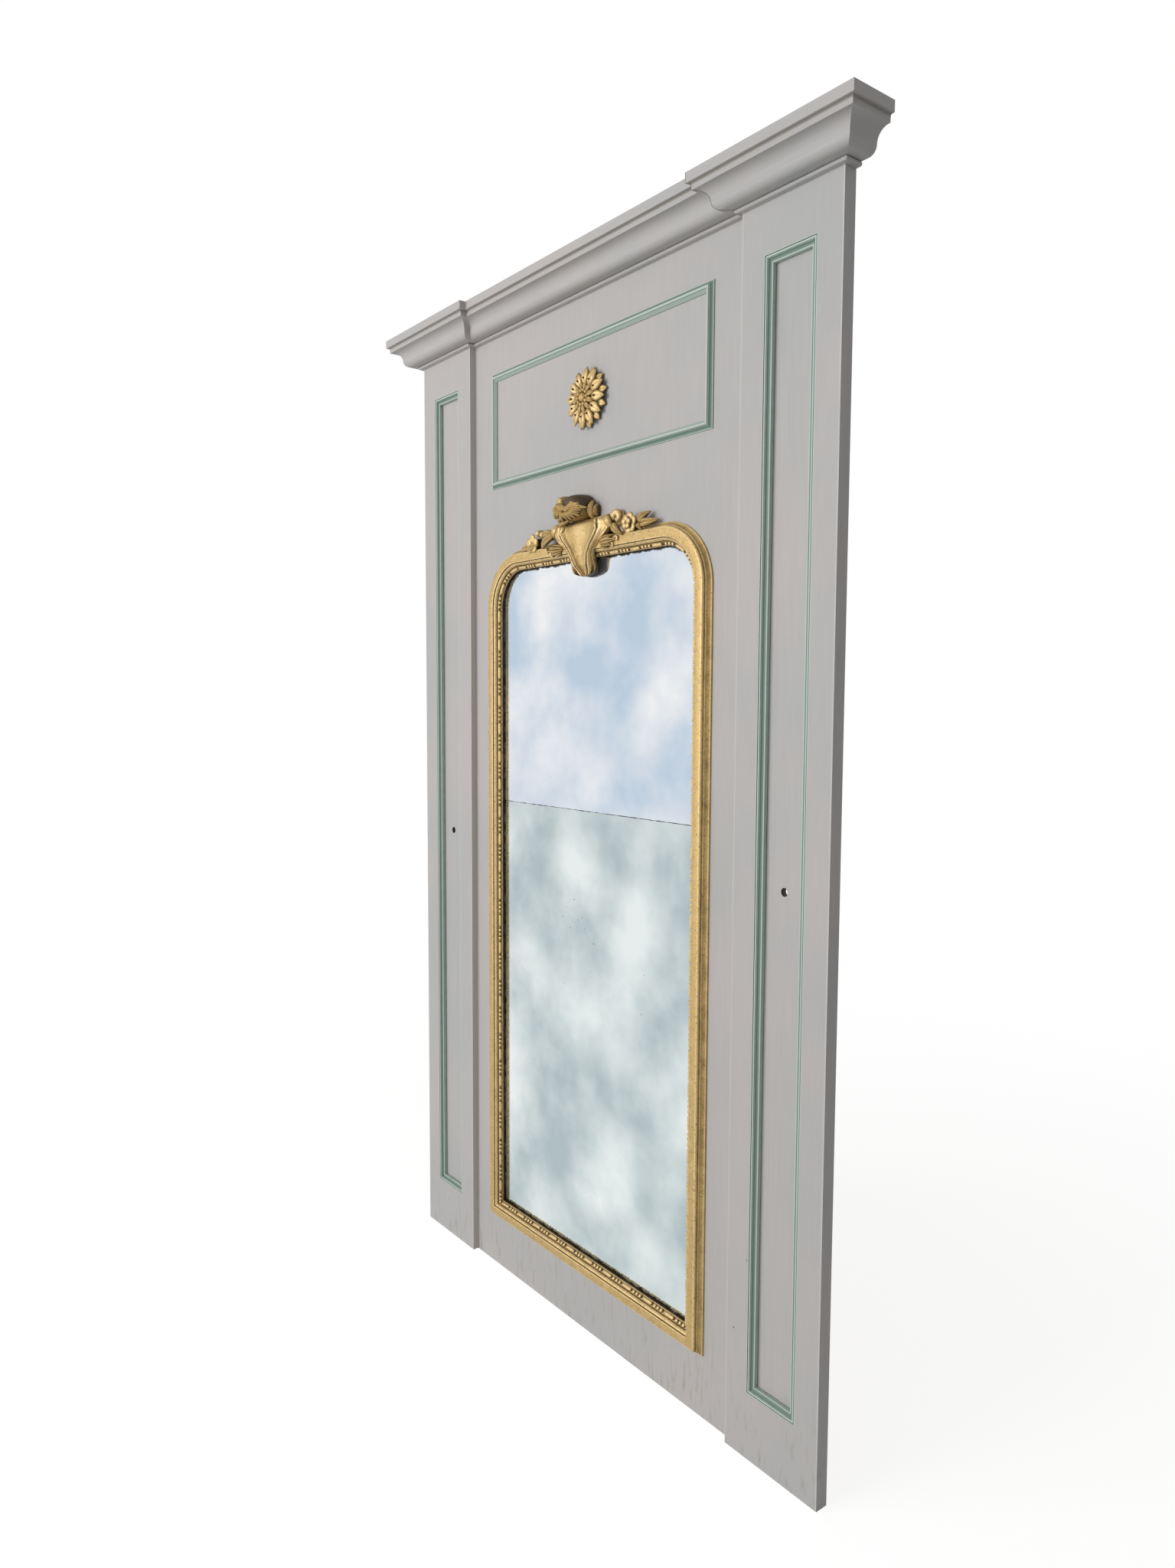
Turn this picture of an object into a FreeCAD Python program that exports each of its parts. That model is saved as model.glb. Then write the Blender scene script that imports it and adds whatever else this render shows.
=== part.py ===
import FreeCAD, Part
import math
import os

V = FreeCAD.Vector
RIGHT, UP, FRONT, BACK = V(1, 0, 0), V(0, 0, 1), V(0, -1, 0), V(0, 1, 0)

# Trumeau mirror. Millimetres, heights from the foot, depths from the wall, front towards -Y.

# Back boards, joined by tongues behind the pilasters
PANEL_WIDTH = 1100.0
PANEL_HEIGHT = 1834.0
BOARD_THICKNESS = 10.0
JOINT_COVER = 22.0
TONGUE_LENGTH = 6.0
TONGUE_THICKNESS = 3.0
WOOD_CLEARANCE = 0.2

# Rear battens and hanging line
BATTEN_THICKNESS = 18.0
BATTEN_WIDTH = 70.0
BATTEN_INSET = 60.0
BATTEN_BEVEL = 4.0
LOWER_BATTEN_HEIGHT = 200.0
MIDDLE_BATTEN_DROP = 740.0
HANGING_DROP = 144.0

# Pilasters with their sunk fields
PILASTER_WIDTH = 182.0
PILASTER_THICKNESS = 12.0
STILE_WIDTH = 43.0
FOOT_RAIL_HEIGHT = 103.0
HEAD_RAIL_DROP = 70.0
TENON_LENGTH = 20.0
TENON_THICKNESS = 4.0
TENON_SHOULDER = 12.0
SCONCE_HOLE_DIAMETER = 12.0
SCONCE_HOLE_HEIGHT = 873.0

# Green moulding of the sunk fields: fillet, bead between two quirks, cove, inner fillet
SUNK_FILLET = 1.6
SUNK_BEAD = 3.2
SUNK_COVE = 4.4
SUNK_INNER_FILLET = 2.0
SUNK_INNER_HEIGHT = 7.4
QUIRK_WIDTH = 0.8
QUIRK_DEPTH = 1.6
COVE_SAG = 0.9

# Raised green moulding of the upper frame: outer cove, bead between two quirks, inner fillet
UPPER_FRAME_WIDTH = 604.0
UPPER_FRAME_DROP = 67.0
UPPER_FRAME_HEIGHT = 216.0
RAISED_HEIGHT = 8.5
RAISED_EDGE = 2.2
RAISED_COVE = 5.6
RAISED_BEAD = 4.4
RAISED_INNER_FILLET = 3.4

# Rosette in the upper frame
ROSETTE_DIAMETER = 106.0
ROSETTE_PETALS = 16
ROSETTE_LAYER = 4.0
ROSETTE_MIDDLE_DIAMETER = 92.0
ROSETTE_INNER_DIAMETER = 50.0
ROSETTE_VALLEY_DEPTH = 17.0
ROSETTE_INNER_VALLEY_DEPTH = 11.0
PETAL_BELLY = 0.7
BUTTON_DIAMETER = 19.0
BUTTON_HEIGHT = 5.0
BUTTON_PEG_DIAMETER = 5.0
BUTTON_PEG_LENGTH = 5.0
PEG_CLEARANCE = 0.15

# Gilt mirror frame: base, cove, fillet, crowned face, hollow, band, pearl slope and a lip over the glass
MIRROR_WIDTH = 614.0
MIRROR_BOTTOM = 104.0
MIRROR_DROP = 125.0
MIRROR_CORNER_RADIUS = 105.0
GILT_BASE = 3.0
GILT_COVE_WIDTH = 6.0
GILT_COVE_TOP = 10.0
GILT_FILLET = 1.4
FACE_WIDTH = 17.2
FACE_HEIGHT = 16.2
FACE_CROWN = 0.6
SHOULDER_RADIUS = 3.0
HOLLOW_WIDTH = 1.2
HOLLOW_DEPTH = 2.0
BAND_WIDTH = 4.2
BAND_FOOT = 8.8
BAND_SWELL = 0.8
PEARL_QUIRK = 0.7
PEARL_SLOPE = 5.4
PEARL_DIAMETER = 7.0
LIP_WIDTH = 10.0
LIP_DEPTH = 2.8
LIP_CLEARANCE = 0.4

# Mirror plates
GLASS_THICKNESS = 3.0
BED_DEPTH = 6.0
PLATE_CLEARANCE = 0.6
SEAM_DROP = 476.0
SEAM_GAP = 0.3

# Crest on the head rail. Heights are from a line below the frame's top edge, rises from the centre field.
CREST_LINE_DROP = 4.0
CARTOUCHE_HALF_WIDTH = 64.0
CARTOUCHE_TOP = 22.0
CARTOUCHE_DROP = 66.0
CARTOUCHE_WAIST = 44.0
CARTOUCHE_FOOT = 33.0
CARTOUCHE_ARCH = 10.0
CARTOUCHE_FOOT_CURVE = 16.0
CARTOUCHE_BEVEL = 12.0
CARTOUCHE_TOP_BEVEL = 6.0
CARTOUCHE_TIP_BEVEL = 3.0
CARTOUCHE_RISE = 36.0
BLOSSOM_HALF_WIDTH = 54.0
BLOSSOM_HALF_HEIGHT = 29.0
BLOSSOM_HEIGHT = 44.0
BLOSSOM_RISE = 42.0
BLOSSOM_CENTRE = 5.0
BLOSSOM_LEAF_RISE = 21.0
BLOSSOM_STEPS = (0.0, 0.5, 0.85, 1.0)
BLOSSOM_FLAT = 0.25
SPRAY_RISE = 24.0
KNOB_DOME = 0.25
CREST_SEAT_GAP = 0.2
LEAF_FRONT = 0.5
# Leaf as root x, root height, tip x, tip height, width
LEFT_LEAVES = ((-92, 10, -140, 4, 12), (-142, 4, -181, -2, 13), (-70, 8, -116, 20, 15))
RIGHT_LEAVES = ((78, 6, 126, 2, 14), (92, 20, 122, -8, 16), (140, 4, 186, 24, 13), (140, 2, 205, 7, 15))
BLOSSOM_LEAVES = ((-20, 40, -64, 46, 22), (-10, 56, -50, 74, 18))
# Knob as x, height, radius
LEFT_KNOBS = ((-146, 8, 16.5), (-110, 15, 10))
RIGHT_KNOBS = ((131, 12, 17), (101, 24, 14))
BLOSSOM_KNOBS = ((64, 42, 14), (60, 52, 11))

# Cornice profile, from the bead up to the top fascia, as outward and upward steps
CORNICE_BEAD_HEIGHT = 6.0
CORNICE_BEAD_PROJECTION = 9.5
CORNICE_SOFFIT = 20.0
BELLY_RADIUS = 12.0
CORNICE_COVE_RADIUS = 18.0
LOWER_FASCIA_STEP = 2.0
LOWER_FASCIA_HEIGHT = 7.5
SMALL_COVE_RADIUS = 2.5
UPPER_FASCIA_STEP = 3.5
UPPER_FASCIA_HEIGHT = 15.0
CORNICE_RIM = 14.0
CORNICE_BACK_HEIGHT = 14.0
DUST_BOARD_THICKNESS = 8.0
GLUE_BLOCK_LEG = 24.0
GLUE_BLOCK_LENGTH = 60.0
CENTRE_GLUE_BLOCKS = 3

# Hanging plates with a keyhole, and screws
HANGING_SPACING = 600.0
PLATE_WIDTH = 34.0
PLATE_BELOW = 22.0
PLATE_ABOVE = 32.0
PLATE_THICKNESS = 2.0
PLATE_SEAT_CLEARANCE = 0.3
KEYHOLE_DIAMETER = 11.0
KEYHOLE_SLOT_WIDTH = 5.5
KEYHOLE_SLOT_LENGTH = 14.0
KEYHOLE_ROOM = 2.0
KEYHOLE_MORTISE_DEPTH = 12.0
PLATE_SCREW_EDGE = 7.0
PLATE_SCREW_LENGTH = 14.0
SCREW_DIAMETER = 4.0
SCREW_HEAD_DIAMETER = 7.5
SCREW_CLEARANCE = 0.15
BATTEN_SCREW_BITE = 7.0
BATTEN_SCREW_EDGE = 18.0
BATTEN_SCREW_JOINT_GAP = 14.0
FRAME_SCREW_BITE = 12.0
STILE_SCREWS = 4
RAIL_SCREWS = 3

# Planes and lines that follow from the sizes above
HALF_PANEL = PANEL_WIDTH / 2
PILASTER_INNER = HALF_PANEL - PILASTER_WIDTH
PILASTER_CENTRE = HALF_PANEL - PILASTER_WIDTH / 2
BOARD_BACK = -BATTEN_THICKNESS
FIELD = BOARD_BACK - BOARD_THICKNESS
PILASTER_FACE = FIELD - PILASTER_THICKNESS
BOARD_JOINT = PILASTER_INNER + JOINT_COVER
SUNK_INNER_EDGE = PILASTER_INNER + STILE_WIDTH
SUNK_OUTER_EDGE = HALF_PANEL - STILE_WIDTH
SUNK_FIELD_TOP = PANEL_HEIGHT - HEAD_RAIL_DROP
CORNICE_PROJECTION = (CORNICE_SOFFIT + BELLY_RADIUS + CORNICE_COVE_RADIUS + LOWER_FASCIA_STEP
                      + SMALL_COVE_RADIUS + UPPER_FASCIA_STEP)
CORNICE_HEIGHT = (CORNICE_BEAD_HEIGHT + BELLY_RADIUS + CORNICE_COVE_RADIUS + LOWER_FASCIA_HEIGHT
                  + SMALL_COVE_RADIUS + UPPER_FASCIA_HEIGHT)
BOARD_TOP = PANEL_HEIGHT + CORNICE_HEIGHT - DUST_BOARD_THICKNESS
FACE_START = GILT_COVE_WIDTH + GILT_FILLET
FACE_END = FACE_START + FACE_WIDTH
BAND_START = FACE_END + HOLLOW_WIDTH
SLOPE_START = BAND_START + BAND_WIDTH + PEARL_QUIRK
SLOPE_TOP = BAND_FOOT - PEARL_QUIRK
FRAME_FACE = SLOPE_START + PEARL_SLOPE + PEARL_QUIRK
LIP_START = FRAME_FACE - LIP_WIDTH
UPPER_FRAME_TOP = PANEL_HEIGHT - UPPER_FRAME_DROP
UPPER_FRAME_BOTTOM = UPPER_FRAME_TOP - UPPER_FRAME_HEIGHT
ROSETTE_HEIGHT = (UPPER_FRAME_BOTTOM + UPPER_FRAME_TOP) / 2
MIRROR_TOP = UPPER_FRAME_BOTTOM - MIRROR_DROP
CREST_LINE = MIRROR_TOP - CREST_LINE_DROP
SEAM_HEIGHT = MIRROR_TOP - SEAM_DROP
MIRROR_HALF = MIRROR_WIDTH / 2
CORNER_X = MIRROR_HALF - MIRROR_CORNER_RADIUS
CORNER_Z = MIRROR_TOP - MIRROR_CORNER_RADIUS
HANGING_HEIGHT = PANEL_HEIGHT - HANGING_DROP
MIDDLE_BATTEN_HEIGHT = HANGING_HEIGHT - MIDDLE_BATTEN_DROP


# Shape helpers

CLOSING_GAP = 1e-6
DIAGONAL = math.sqrt(0.5)


def block(x0, x1, y0, y1, z0, z1):
    """A rectangular block between two corners."""
    return Part.makeBox(x1 - x0, y1 - y0, z1 - z0, V(x0, y0, z0))


def outline(steps):
    """A closed wire: (u, v) is a straight step, ((u, v), (u, v)) an arc through the first to the second."""
    start = V(*steps[0], 0)
    here = start
    edges = []
    for step in steps[1:]:
        is_arc = isinstance(step[0], tuple)
        there = V(*(step[1] if is_arc else step), 0)
        if there.isEqual(start, CLOSING_GAP):
            there = start
        curve = Part.Arc(here, V(*step[0], 0), there) if is_arc else Part.LineSegment(here, there)
        edges.append(curve.toShape())
        here = there
    if here is not start:
        edges.append(Part.LineSegment(here, start).toShape())
    return Part.Wire(edges)


def placed(shape, corner, u_axis, v_axis):
    """The shape with its u and v turned to two axes at a corner, its third axis to their cross product."""
    run = u_axis.cross(v_axis)
    turn = FreeCAD.Matrix(u_axis.x, v_axis.x, run.x, corner.x,
                          u_axis.y, v_axis.y, run.y, corner.y,
                          u_axis.z, v_axis.z, run.z, corner.z,
                          0, 0, 0, 1)
    shape.Placement = FreeCAD.Placement(turn)
    return shape


def bar(steps, corner, u_axis, v_axis, length, start_slope=0, end_slope=0):
    """A section carried along a straight run. A slope of 1 or -1 mitres that end, 0 leaves it square."""
    section = outline(steps)
    box = section.BoundBox
    reach = box.XMax + 1
    low = box.YMin - 1
    solid = Part.Face(section).extrude(V(0, 0, length + 2 * reach))
    solid.translate(V(0, 0, -reach))
    keeper = Part.makePolygon([V(-1, low, -start_slope), V(reach, low, start_slope * reach),
                               V(reach, low, length + end_slope * reach), V(-1, low, length - end_slope),
                               V(-1, low, -start_slope)])
    solid = solid.common(Part.Face(keeper).extrude(V(0, box.YMax + 1 - low, 0)))
    return placed(solid.Solids[0], corner, u_axis, v_axis)


def plate(steps, base, rise):
    """An outline in the front view, as x and height, raised from the centre field."""
    solid = Part.Face(outline(steps)).extrude(V(0, 0, rise))
    return placed(solid, V(0, FIELD - base, 0), RIGHT, UP)


def bend(steps, start, centre, u_axis):
    """A frame section carried a quarter turn round a centre, from its start point."""
    face = placed(Part.Face(outline(steps)), start, u_axis, FRONT)
    return face.revolve(centre, FRONT, 90)


def one_solid(shapes):
    """Touching shapes joined to one solid."""
    joined = shapes[0].multiFuse(shapes[1:]).removeSplitter()
    return joined.Solids[0]


def ball_radius(radius, height):
    """The radius of the ball whose cap has this radius and height."""
    return (radius ** 2 + height ** 2) / (2 * height)


def mirrored(shape):
    """The left-hand twin of a right-hand piece."""
    return shape.mirror(V(0, 0, 0), RIGHT)


def mitred_frame(steps, left, right, bottom, top):
    """Four mitred lengths round a rectangle on the centre field's plane: bottom, right, top, left."""
    sides = ((V(left, FIELD, bottom), UP, right - left),
             (V(right, FIELD, bottom), -RIGHT, top - bottom),
             (V(right, FIELD, top), -UP, right - left),
             (V(left, FIELD, top), RIGHT, top - bottom))
    return [bar(steps, corner, inward, FRONT, length, 1, -1) for corner, inward, length in sides]


def wood_screw(point, direction, length, growth=0):
    """A countersunk screw with its head's flat at a point. The hole for it is the same, grown."""
    radius = SCREW_DIAMETER / 2 + growth
    head_radius = SCREW_HEAD_DIAMETER / 2 + growth
    shank = Part.makeCylinder(radius, length + growth, point, direction)
    head = Part.makeCone(head_radius, radius, head_radius - radius, point, direction)
    return shank.fuse(head)


def screw_holes(screws):
    """The holes for a list of screws, each a point, a direction and a length."""
    return [wood_screw(*screw, SCREW_CLEARANCE) for screw in screws]


# Sections of the mouldings, as distance from the outer edge and height above the plane that they lie on

def sunk_section():
    """Moulding of the sunk fields, flush with the pilaster at its outer edge."""
    floor = PILASTER_THICKNESS - QUIRK_DEPTH
    bead_start = SUNK_FILLET + QUIRK_WIDTH
    bead_end = bead_start + SUNK_BEAD
    cove_start = bead_end + QUIRK_WIDTH
    cove_end = cove_start + SUNK_COVE
    width = cove_end + SUNK_INNER_FILLET
    cove_middle = ((cove_start + cove_end) / 2 - COVE_SAG, (floor + SUNK_INNER_HEIGHT) / 2 - COVE_SAG)
    return [(0, 0), (width, 0), (width, SUNK_INNER_HEIGHT), (cove_end, SUNK_INNER_HEIGHT),
            (cove_middle, (cove_start, floor)), (bead_end, floor),
            (((bead_start + bead_end) / 2, floor + SUNK_BEAD / 2), (bead_start, floor)),
            (SUNK_FILLET, floor), (SUNK_FILLET, PILASTER_THICKNESS), (0, PILASTER_THICKNESS)]


def raised_section():
    """Moulding of the upper frame, planted on the field."""
    floor = RAISED_HEIGHT - RAISED_BEAD / 2
    bead_start = RAISED_COVE + QUIRK_WIDTH
    bead_end = bead_start + RAISED_BEAD
    inner = bead_end + QUIRK_WIDTH
    width = inner + RAISED_INNER_FILLET
    cove_middle = (RAISED_COVE / 2 + COVE_SAG, (RAISED_EDGE + floor) / 2 - COVE_SAG)
    return [(0, 0), (width, 0), (width, RAISED_EDGE), (inner, floor), (bead_end, floor),
            (((bead_start + bead_end) / 2, RAISED_HEIGHT), (bead_start, floor)),
            (RAISED_COVE, floor), (cove_middle, (0, RAISED_EDGE))]


def gilt_side():
    """Outer side and crowned face of the mirror frame's section, up to the edge of its hollow."""
    cove_middle = (GILT_COVE_WIDTH / 2 + COVE_SAG, (GILT_BASE + GILT_COVE_TOP) / 2 - COVE_SAG)
    round_in = SHOULDER_RADIUS * (1 - DIAGONAL)
    round_start = FACE_HEIGHT - SHOULDER_RADIUS
    crown_start = FACE_START + SHOULDER_RADIUS
    return [(0, 0), (0, GILT_BASE), (cove_middle, (GILT_COVE_WIDTH, GILT_COVE_TOP)),
            (FACE_START, GILT_COVE_TOP), (FACE_START, round_start),
            ((FACE_START + round_in, FACE_HEIGHT - round_in), (crown_start, FACE_HEIGHT)),
            (((crown_start + FACE_END) / 2, FACE_HEIGHT + FACE_CROWN), (FACE_END, FACE_HEIGHT))]


def gilt_section():
    """Whole section of the mirror frame: hollow, band, slope for the pearls, and lip over the glass."""
    floor = FACE_HEIGHT - HOLLOW_DEPTH
    band_end = BAND_START + BAND_WIDTH
    band_middle = ((BAND_START + band_end) / 2 + BAND_SWELL, (floor + BAND_FOOT) / 2 + BAND_SWELL)
    slope_end = SLOPE_START + PEARL_SLOPE
    slope_foot = SLOPE_TOP - PEARL_SLOPE
    return gilt_side() + [(FACE_END, floor), (BAND_START, floor), (band_middle, (band_end, BAND_FOOT)),
                          (band_end, SLOPE_TOP), (SLOPE_START, SLOPE_TOP), (slope_end, slope_foot),
                          (FRAME_FACE, slope_foot), (FRAME_FACE, -LIP_DEPTH), (LIP_START, -LIP_DEPTH),
                          (LIP_START, 0)]


def pearl_section():
    """Half-round strip on the pearl slope, the outer form of the pearls and batons."""
    reach = PEARL_DIAMETER / 2 * DIAGONAL
    across = SLOPE_START + PEARL_SLOPE / 2
    height = SLOPE_TOP - PEARL_SLOPE / 2
    start = (across - reach, height + reach)
    return [start, (across + reach, height - reach), ((across + reach, height + reach), start)]


def cornice_section(back_height):
    """Crown moulding with a rebate for the dust board, its back sloping from there to the panel."""
    bead_shelf = CORNICE_BEAD_PROJECTION - CORNICE_BEAD_HEIGHT / 2
    belly_top = CORNICE_BEAD_HEIGHT + BELLY_RADIUS
    belly_out = CORNICE_SOFFIT + BELLY_RADIUS
    cove_top = belly_top + CORNICE_COVE_RADIUS
    cove_out = belly_out + CORNICE_COVE_RADIUS
    fascia_out = cove_out + LOWER_FASCIA_STEP
    fascia_top = cove_top + LOWER_FASCIA_HEIGHT
    rim = CORNICE_PROJECTION - CORNICE_RIM
    dust_floor = CORNICE_HEIGHT - DUST_BOARD_THICKNESS
    belly_middle = (CORNICE_SOFFIT + BELLY_RADIUS * DIAGONAL, belly_top - BELLY_RADIUS * DIAGONAL)
    cove_middle = (cove_out - CORNICE_COVE_RADIUS * DIAGONAL, belly_top + CORNICE_COVE_RADIUS * DIAGONAL)
    small_out = fascia_out + SMALL_COVE_RADIUS
    small_top = fascia_top + SMALL_COVE_RADIUS
    small_middle = (small_out - SMALL_COVE_RADIUS * DIAGONAL, fascia_top + SMALL_COVE_RADIUS * DIAGONAL)
    return [(0, 0), (bead_shelf, 0),
            ((CORNICE_BEAD_PROJECTION, CORNICE_BEAD_HEIGHT / 2), (bead_shelf, CORNICE_BEAD_HEIGHT)),
            (CORNICE_SOFFIT, CORNICE_BEAD_HEIGHT), (belly_middle, (belly_out, belly_top)),
            (cove_middle, (cove_out, cove_top)), (fascia_out, cove_top), (fascia_out, fascia_top),
            (small_middle, (small_out, small_top)), (CORNICE_PROJECTION, small_top),
            (CORNICE_PROJECTION, CORNICE_HEIGHT), (rim, CORNICE_HEIGHT), (rim, dust_floor), (0, back_height)]


# Screws: point, direction and length of each

def frame_screws():
    """Screws from the boards' back into the mirror frame."""
    line = FACE_START + FACE_WIDTH / 2
    length = BOARD_THICKNESS + FRAME_SCREW_BITE
    stile = CORNER_Z - MIRROR_BOTTOM
    rail = 2 * CORNER_X
    places = []
    for count in range(STILE_SCREWS):
        height = MIRROR_BOTTOM + stile * (count + 0.5) / STILE_SCREWS
        places += [(side * (MIRROR_HALF - line), height) for side in (-1, 1)]
    for count in range(RAIL_SCREWS):
        across = rail * ((count + 0.5) / RAIL_SCREWS - 0.5)
        places += [(across, MIRROR_BOTTOM + line), (across, MIRROR_TOP - line)]
    return [(V(x, BOARD_BACK, z), FRONT, length) for x, z in places]


def rosette_screw():
    """The one screw that holds the rosette, from the boards' back."""
    return V(0, BOARD_BACK, ROSETTE_HEIGHT), FRONT, BOARD_THICKNESS + ROSETTE_LAYER


def batten_screws():
    """Screws from the battens' back into the boards, in pairs: at the ends, and beside the joints."""
    end = HALF_PANEL - BATTEN_INSET - BATTEN_SCREW_EDGE
    inside = BOARD_JOINT - BATTEN_SCREW_JOINT_GAP
    length = BATTEN_THICKNESS + BATTEN_SCREW_BITE
    rows = [height + side * (BATTEN_WIDTH / 2 - BATTEN_SCREW_EDGE)
            for height in (LOWER_BATTEN_HEIGHT, MIDDLE_BATTEN_HEIGHT, HANGING_HEIGHT) for side in (-1, 1)]
    return [(V(x, 0, z), FRONT, length) for z in rows for x in (-end, -inside, inside, end)]


def plate_screws(x):
    """The two screws of one hanging plate, below and above its keyhole."""
    below = HANGING_HEIGHT - PLATE_BELOW + PLATE_SCREW_EDGE
    above = HANGING_HEIGHT + PLATE_ABOVE - PLATE_SCREW_EDGE
    return [(V(x, 0, height), FRONT, PLATE_SCREW_LENGTH) for height in (below, above)]


# Wooden panel

def round_topped(inset, bottom):
    """The mirror's outline drawn in by an inset, from a bottom height up, with rounded top corners."""
    half = MIRROR_HALF - inset
    top = MIRROR_TOP - inset
    bow = (MIRROR_CORNER_RADIUS - inset) * DIAGONAL
    return [(-half, bottom), (half, bottom), (half, CORNER_Z),
            ((CORNER_X + bow, CORNER_Z + bow), (CORNER_X, top)), (-CORNER_X, top),
            ((-CORNER_X - bow, CORNER_Z + bow), (-half, CORNER_Z))]


def back_boards():
    """Centre board with grooves and a bed for the glass, and two side boards with tongues and a hole."""
    middle = (BOARD_BACK + FIELD) / 2
    tongue = TONGUE_THICKNESS / 2
    groove = tongue + WOOD_CLEARANCE
    groove_end = BOARD_JOINT - TONGUE_LENGTH - WOOD_CLEARANCE
    centre = block(-BOARD_JOINT, BOARD_JOINT, FIELD, BOARD_BACK, 0, BOARD_TOP)
    slot = block(groove_end, BOARD_JOINT, middle - groove, middle + groove, 0, BOARD_TOP)
    inset = LIP_START - LIP_CLEARANCE
    bed = plate(round_topped(inset, MIRROR_BOTTOM + inset), -BED_DEPTH, BED_DEPTH)
    holes = screw_holes(frame_screws() + [rosette_screw()] + batten_screws())
    side = block(BOARD_JOINT, HALF_PANEL, FIELD, BOARD_BACK, 0, BOARD_TOP)
    side = side.fuse(block(BOARD_JOINT - TONGUE_LENGTH, BOARD_JOINT, middle - tongue, middle + tongue,
                           0, BOARD_TOP))
    hole = Part.makeCylinder(SCONCE_HOLE_DIAMETER / 2, BOARD_THICKNESS,
                             V(PILASTER_CENTRE, BOARD_BACK, SCONCE_HOLE_HEIGHT), FRONT)
    side = side.cut([hole] + screw_holes(batten_screws()))
    return {"back_board_centre": centre.cut([slot, mirrored(slot), bed] + holes),
            "back_board_right": side, "back_board_left": mirrored(side)}


def rail_tenon(bottom, top, air):
    """The bar through a rail whose two ends are its tenons, grown by air for the mortises."""
    reach = TENON_LENGTH + air
    half = TENON_THICKNESS / 2 + air
    middle = (PILASTER_FACE + FIELD) / 2
    return block(SUNK_INNER_EDGE - reach, SUNK_OUTER_EDGE + reach, middle - half, middle + half,
                 bottom + TENON_SHOULDER - air, top - TENON_SHOULDER + air)


def pilasters():
    """Stiles and rails of the right pilaster, tenoned together, and their left-hand twins."""
    rails = {"foot_rail": (0, FOOT_RAIL_HEIGHT), "head_rail": (SUNK_FIELD_TOP, BOARD_TOP)}
    pieces = {"inner_stile": block(PILASTER_INNER, SUNK_INNER_EDGE, PILASTER_FACE, FIELD, 0, BOARD_TOP),
              "outer_stile": block(SUNK_OUTER_EDGE, HALF_PANEL, PILASTER_FACE, FIELD, 0, BOARD_TOP)}
    for name, (bottom, top) in rails.items():
        rail = block(SUNK_INNER_EDGE, SUNK_OUTER_EDGE, PILASTER_FACE, FIELD, bottom, top)
        pieces[name] = rail.fuse(rail_tenon(bottom, top, 0)).removeSplitter()
        mortise = rail_tenon(bottom, top, WOOD_CLEARANCE)
        for stile in ("inner_stile", "outer_stile"):
            pieces[stile] = pieces[stile].cut(mortise)
    made = {}
    for name, piece in pieces.items():
        made["right_pilaster_" + name] = piece
        made["left_pilaster_" + name] = mirrored(piece)
    return made


def sunk_mouldings():
    """Mitred moulding round each pilaster's sunk field."""
    lengths = mitred_frame(sunk_section(), SUNK_INNER_EDGE, SUNK_OUTER_EDGE,
                           FOOT_RAIL_HEIGHT, SUNK_FIELD_TOP)
    made = {}
    for name, length in zip(("bottom", "outer", "top", "inner"), lengths):
        made["right_field_moulding_" + name] = length
        made["left_field_moulding_" + name] = mirrored(length)
    return made


def upper_frame():
    """Raised moulding frame on the field above the mirror."""
    lengths = mitred_frame(raised_section(), -UPPER_FRAME_WIDTH / 2, UPPER_FRAME_WIDTH / 2,
                           UPPER_FRAME_BOTTOM, UPPER_FRAME_TOP)
    names = ("bottom", "right", "top", "left")
    return {"upper_moulding_" + name: length for name, length in zip(names, lengths)}


# Rosette

def petal_ring(diameter, valley_depth, turn, base, rise):
    """A ring of pointed petals: two arcs from valley to tip and back for each petal."""
    tip = diameter / 2
    valley = tip - valley_depth
    half = math.pi / ROSETTE_PETALS

    def point(radius, steps):
        angle = (steps + turn) * half
        return radius * math.cos(angle), ROSETTE_HEIGHT + radius * math.sin(angle)

    steps = [point(valley, -1)]
    belly = (tip + valley) / 2
    for petal in range(ROSETTE_PETALS):
        steps.append((point(belly, 2 * petal - PETAL_BELLY), point(tip, 2 * petal)))
        steps.append((point(belly, 2 * petal + PETAL_BELLY), point(valley, 2 * petal + 1)))
    return plate(steps, base, rise)


def rosette():
    """Three rings of petals cut in one piece, and a turned button pegged into the middle."""
    top = 3 * ROSETTE_LAYER
    rings = ((ROSETTE_DIAMETER, ROSETTE_VALLEY_DEPTH, 1), (ROSETTE_MIDDLE_DIAMETER, ROSETTE_VALLEY_DEPTH, 0),
             (ROSETTE_INNER_DIAMETER, ROSETTE_INNER_VALLEY_DEPTH, 1))
    flower = one_solid([petal_ring(*ring, layer * ROSETTE_LAYER, ROSETTE_LAYER)
                        for layer, ring in enumerate(rings)])
    seat = V(0, FIELD - top, ROSETTE_HEIGHT)
    peg = BUTTON_PEG_DIAMETER / 2
    hole = Part.makeCylinder(peg + PEG_CLEARANCE, BUTTON_PEG_LENGTH + PEG_CLEARANCE, seat, BACK)
    flower = flower.cut([hole] + screw_holes([rosette_screw()]))
    radius = BUTTON_DIAMETER / 2
    ball = ball_radius(radius, BUTTON_HEIGHT)
    angle = math.asin(radius / ball) / 2
    shoulder = (ball * math.sin(angle), BUTTON_HEIGHT - ball + ball * math.cos(angle))
    half_button = outline([(0, -BUTTON_PEG_LENGTH), (peg, -BUTTON_PEG_LENGTH), (peg, 0), (radius, 0),
                           (shoulder, (0, BUTTON_HEIGHT))])
    button = placed(Part.Face(half_button), seat, RIGHT, FRONT).revolve(seat, FRONT, 360)
    return {"rosette": flower, "rosette_button": button}


# Mirror

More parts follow.
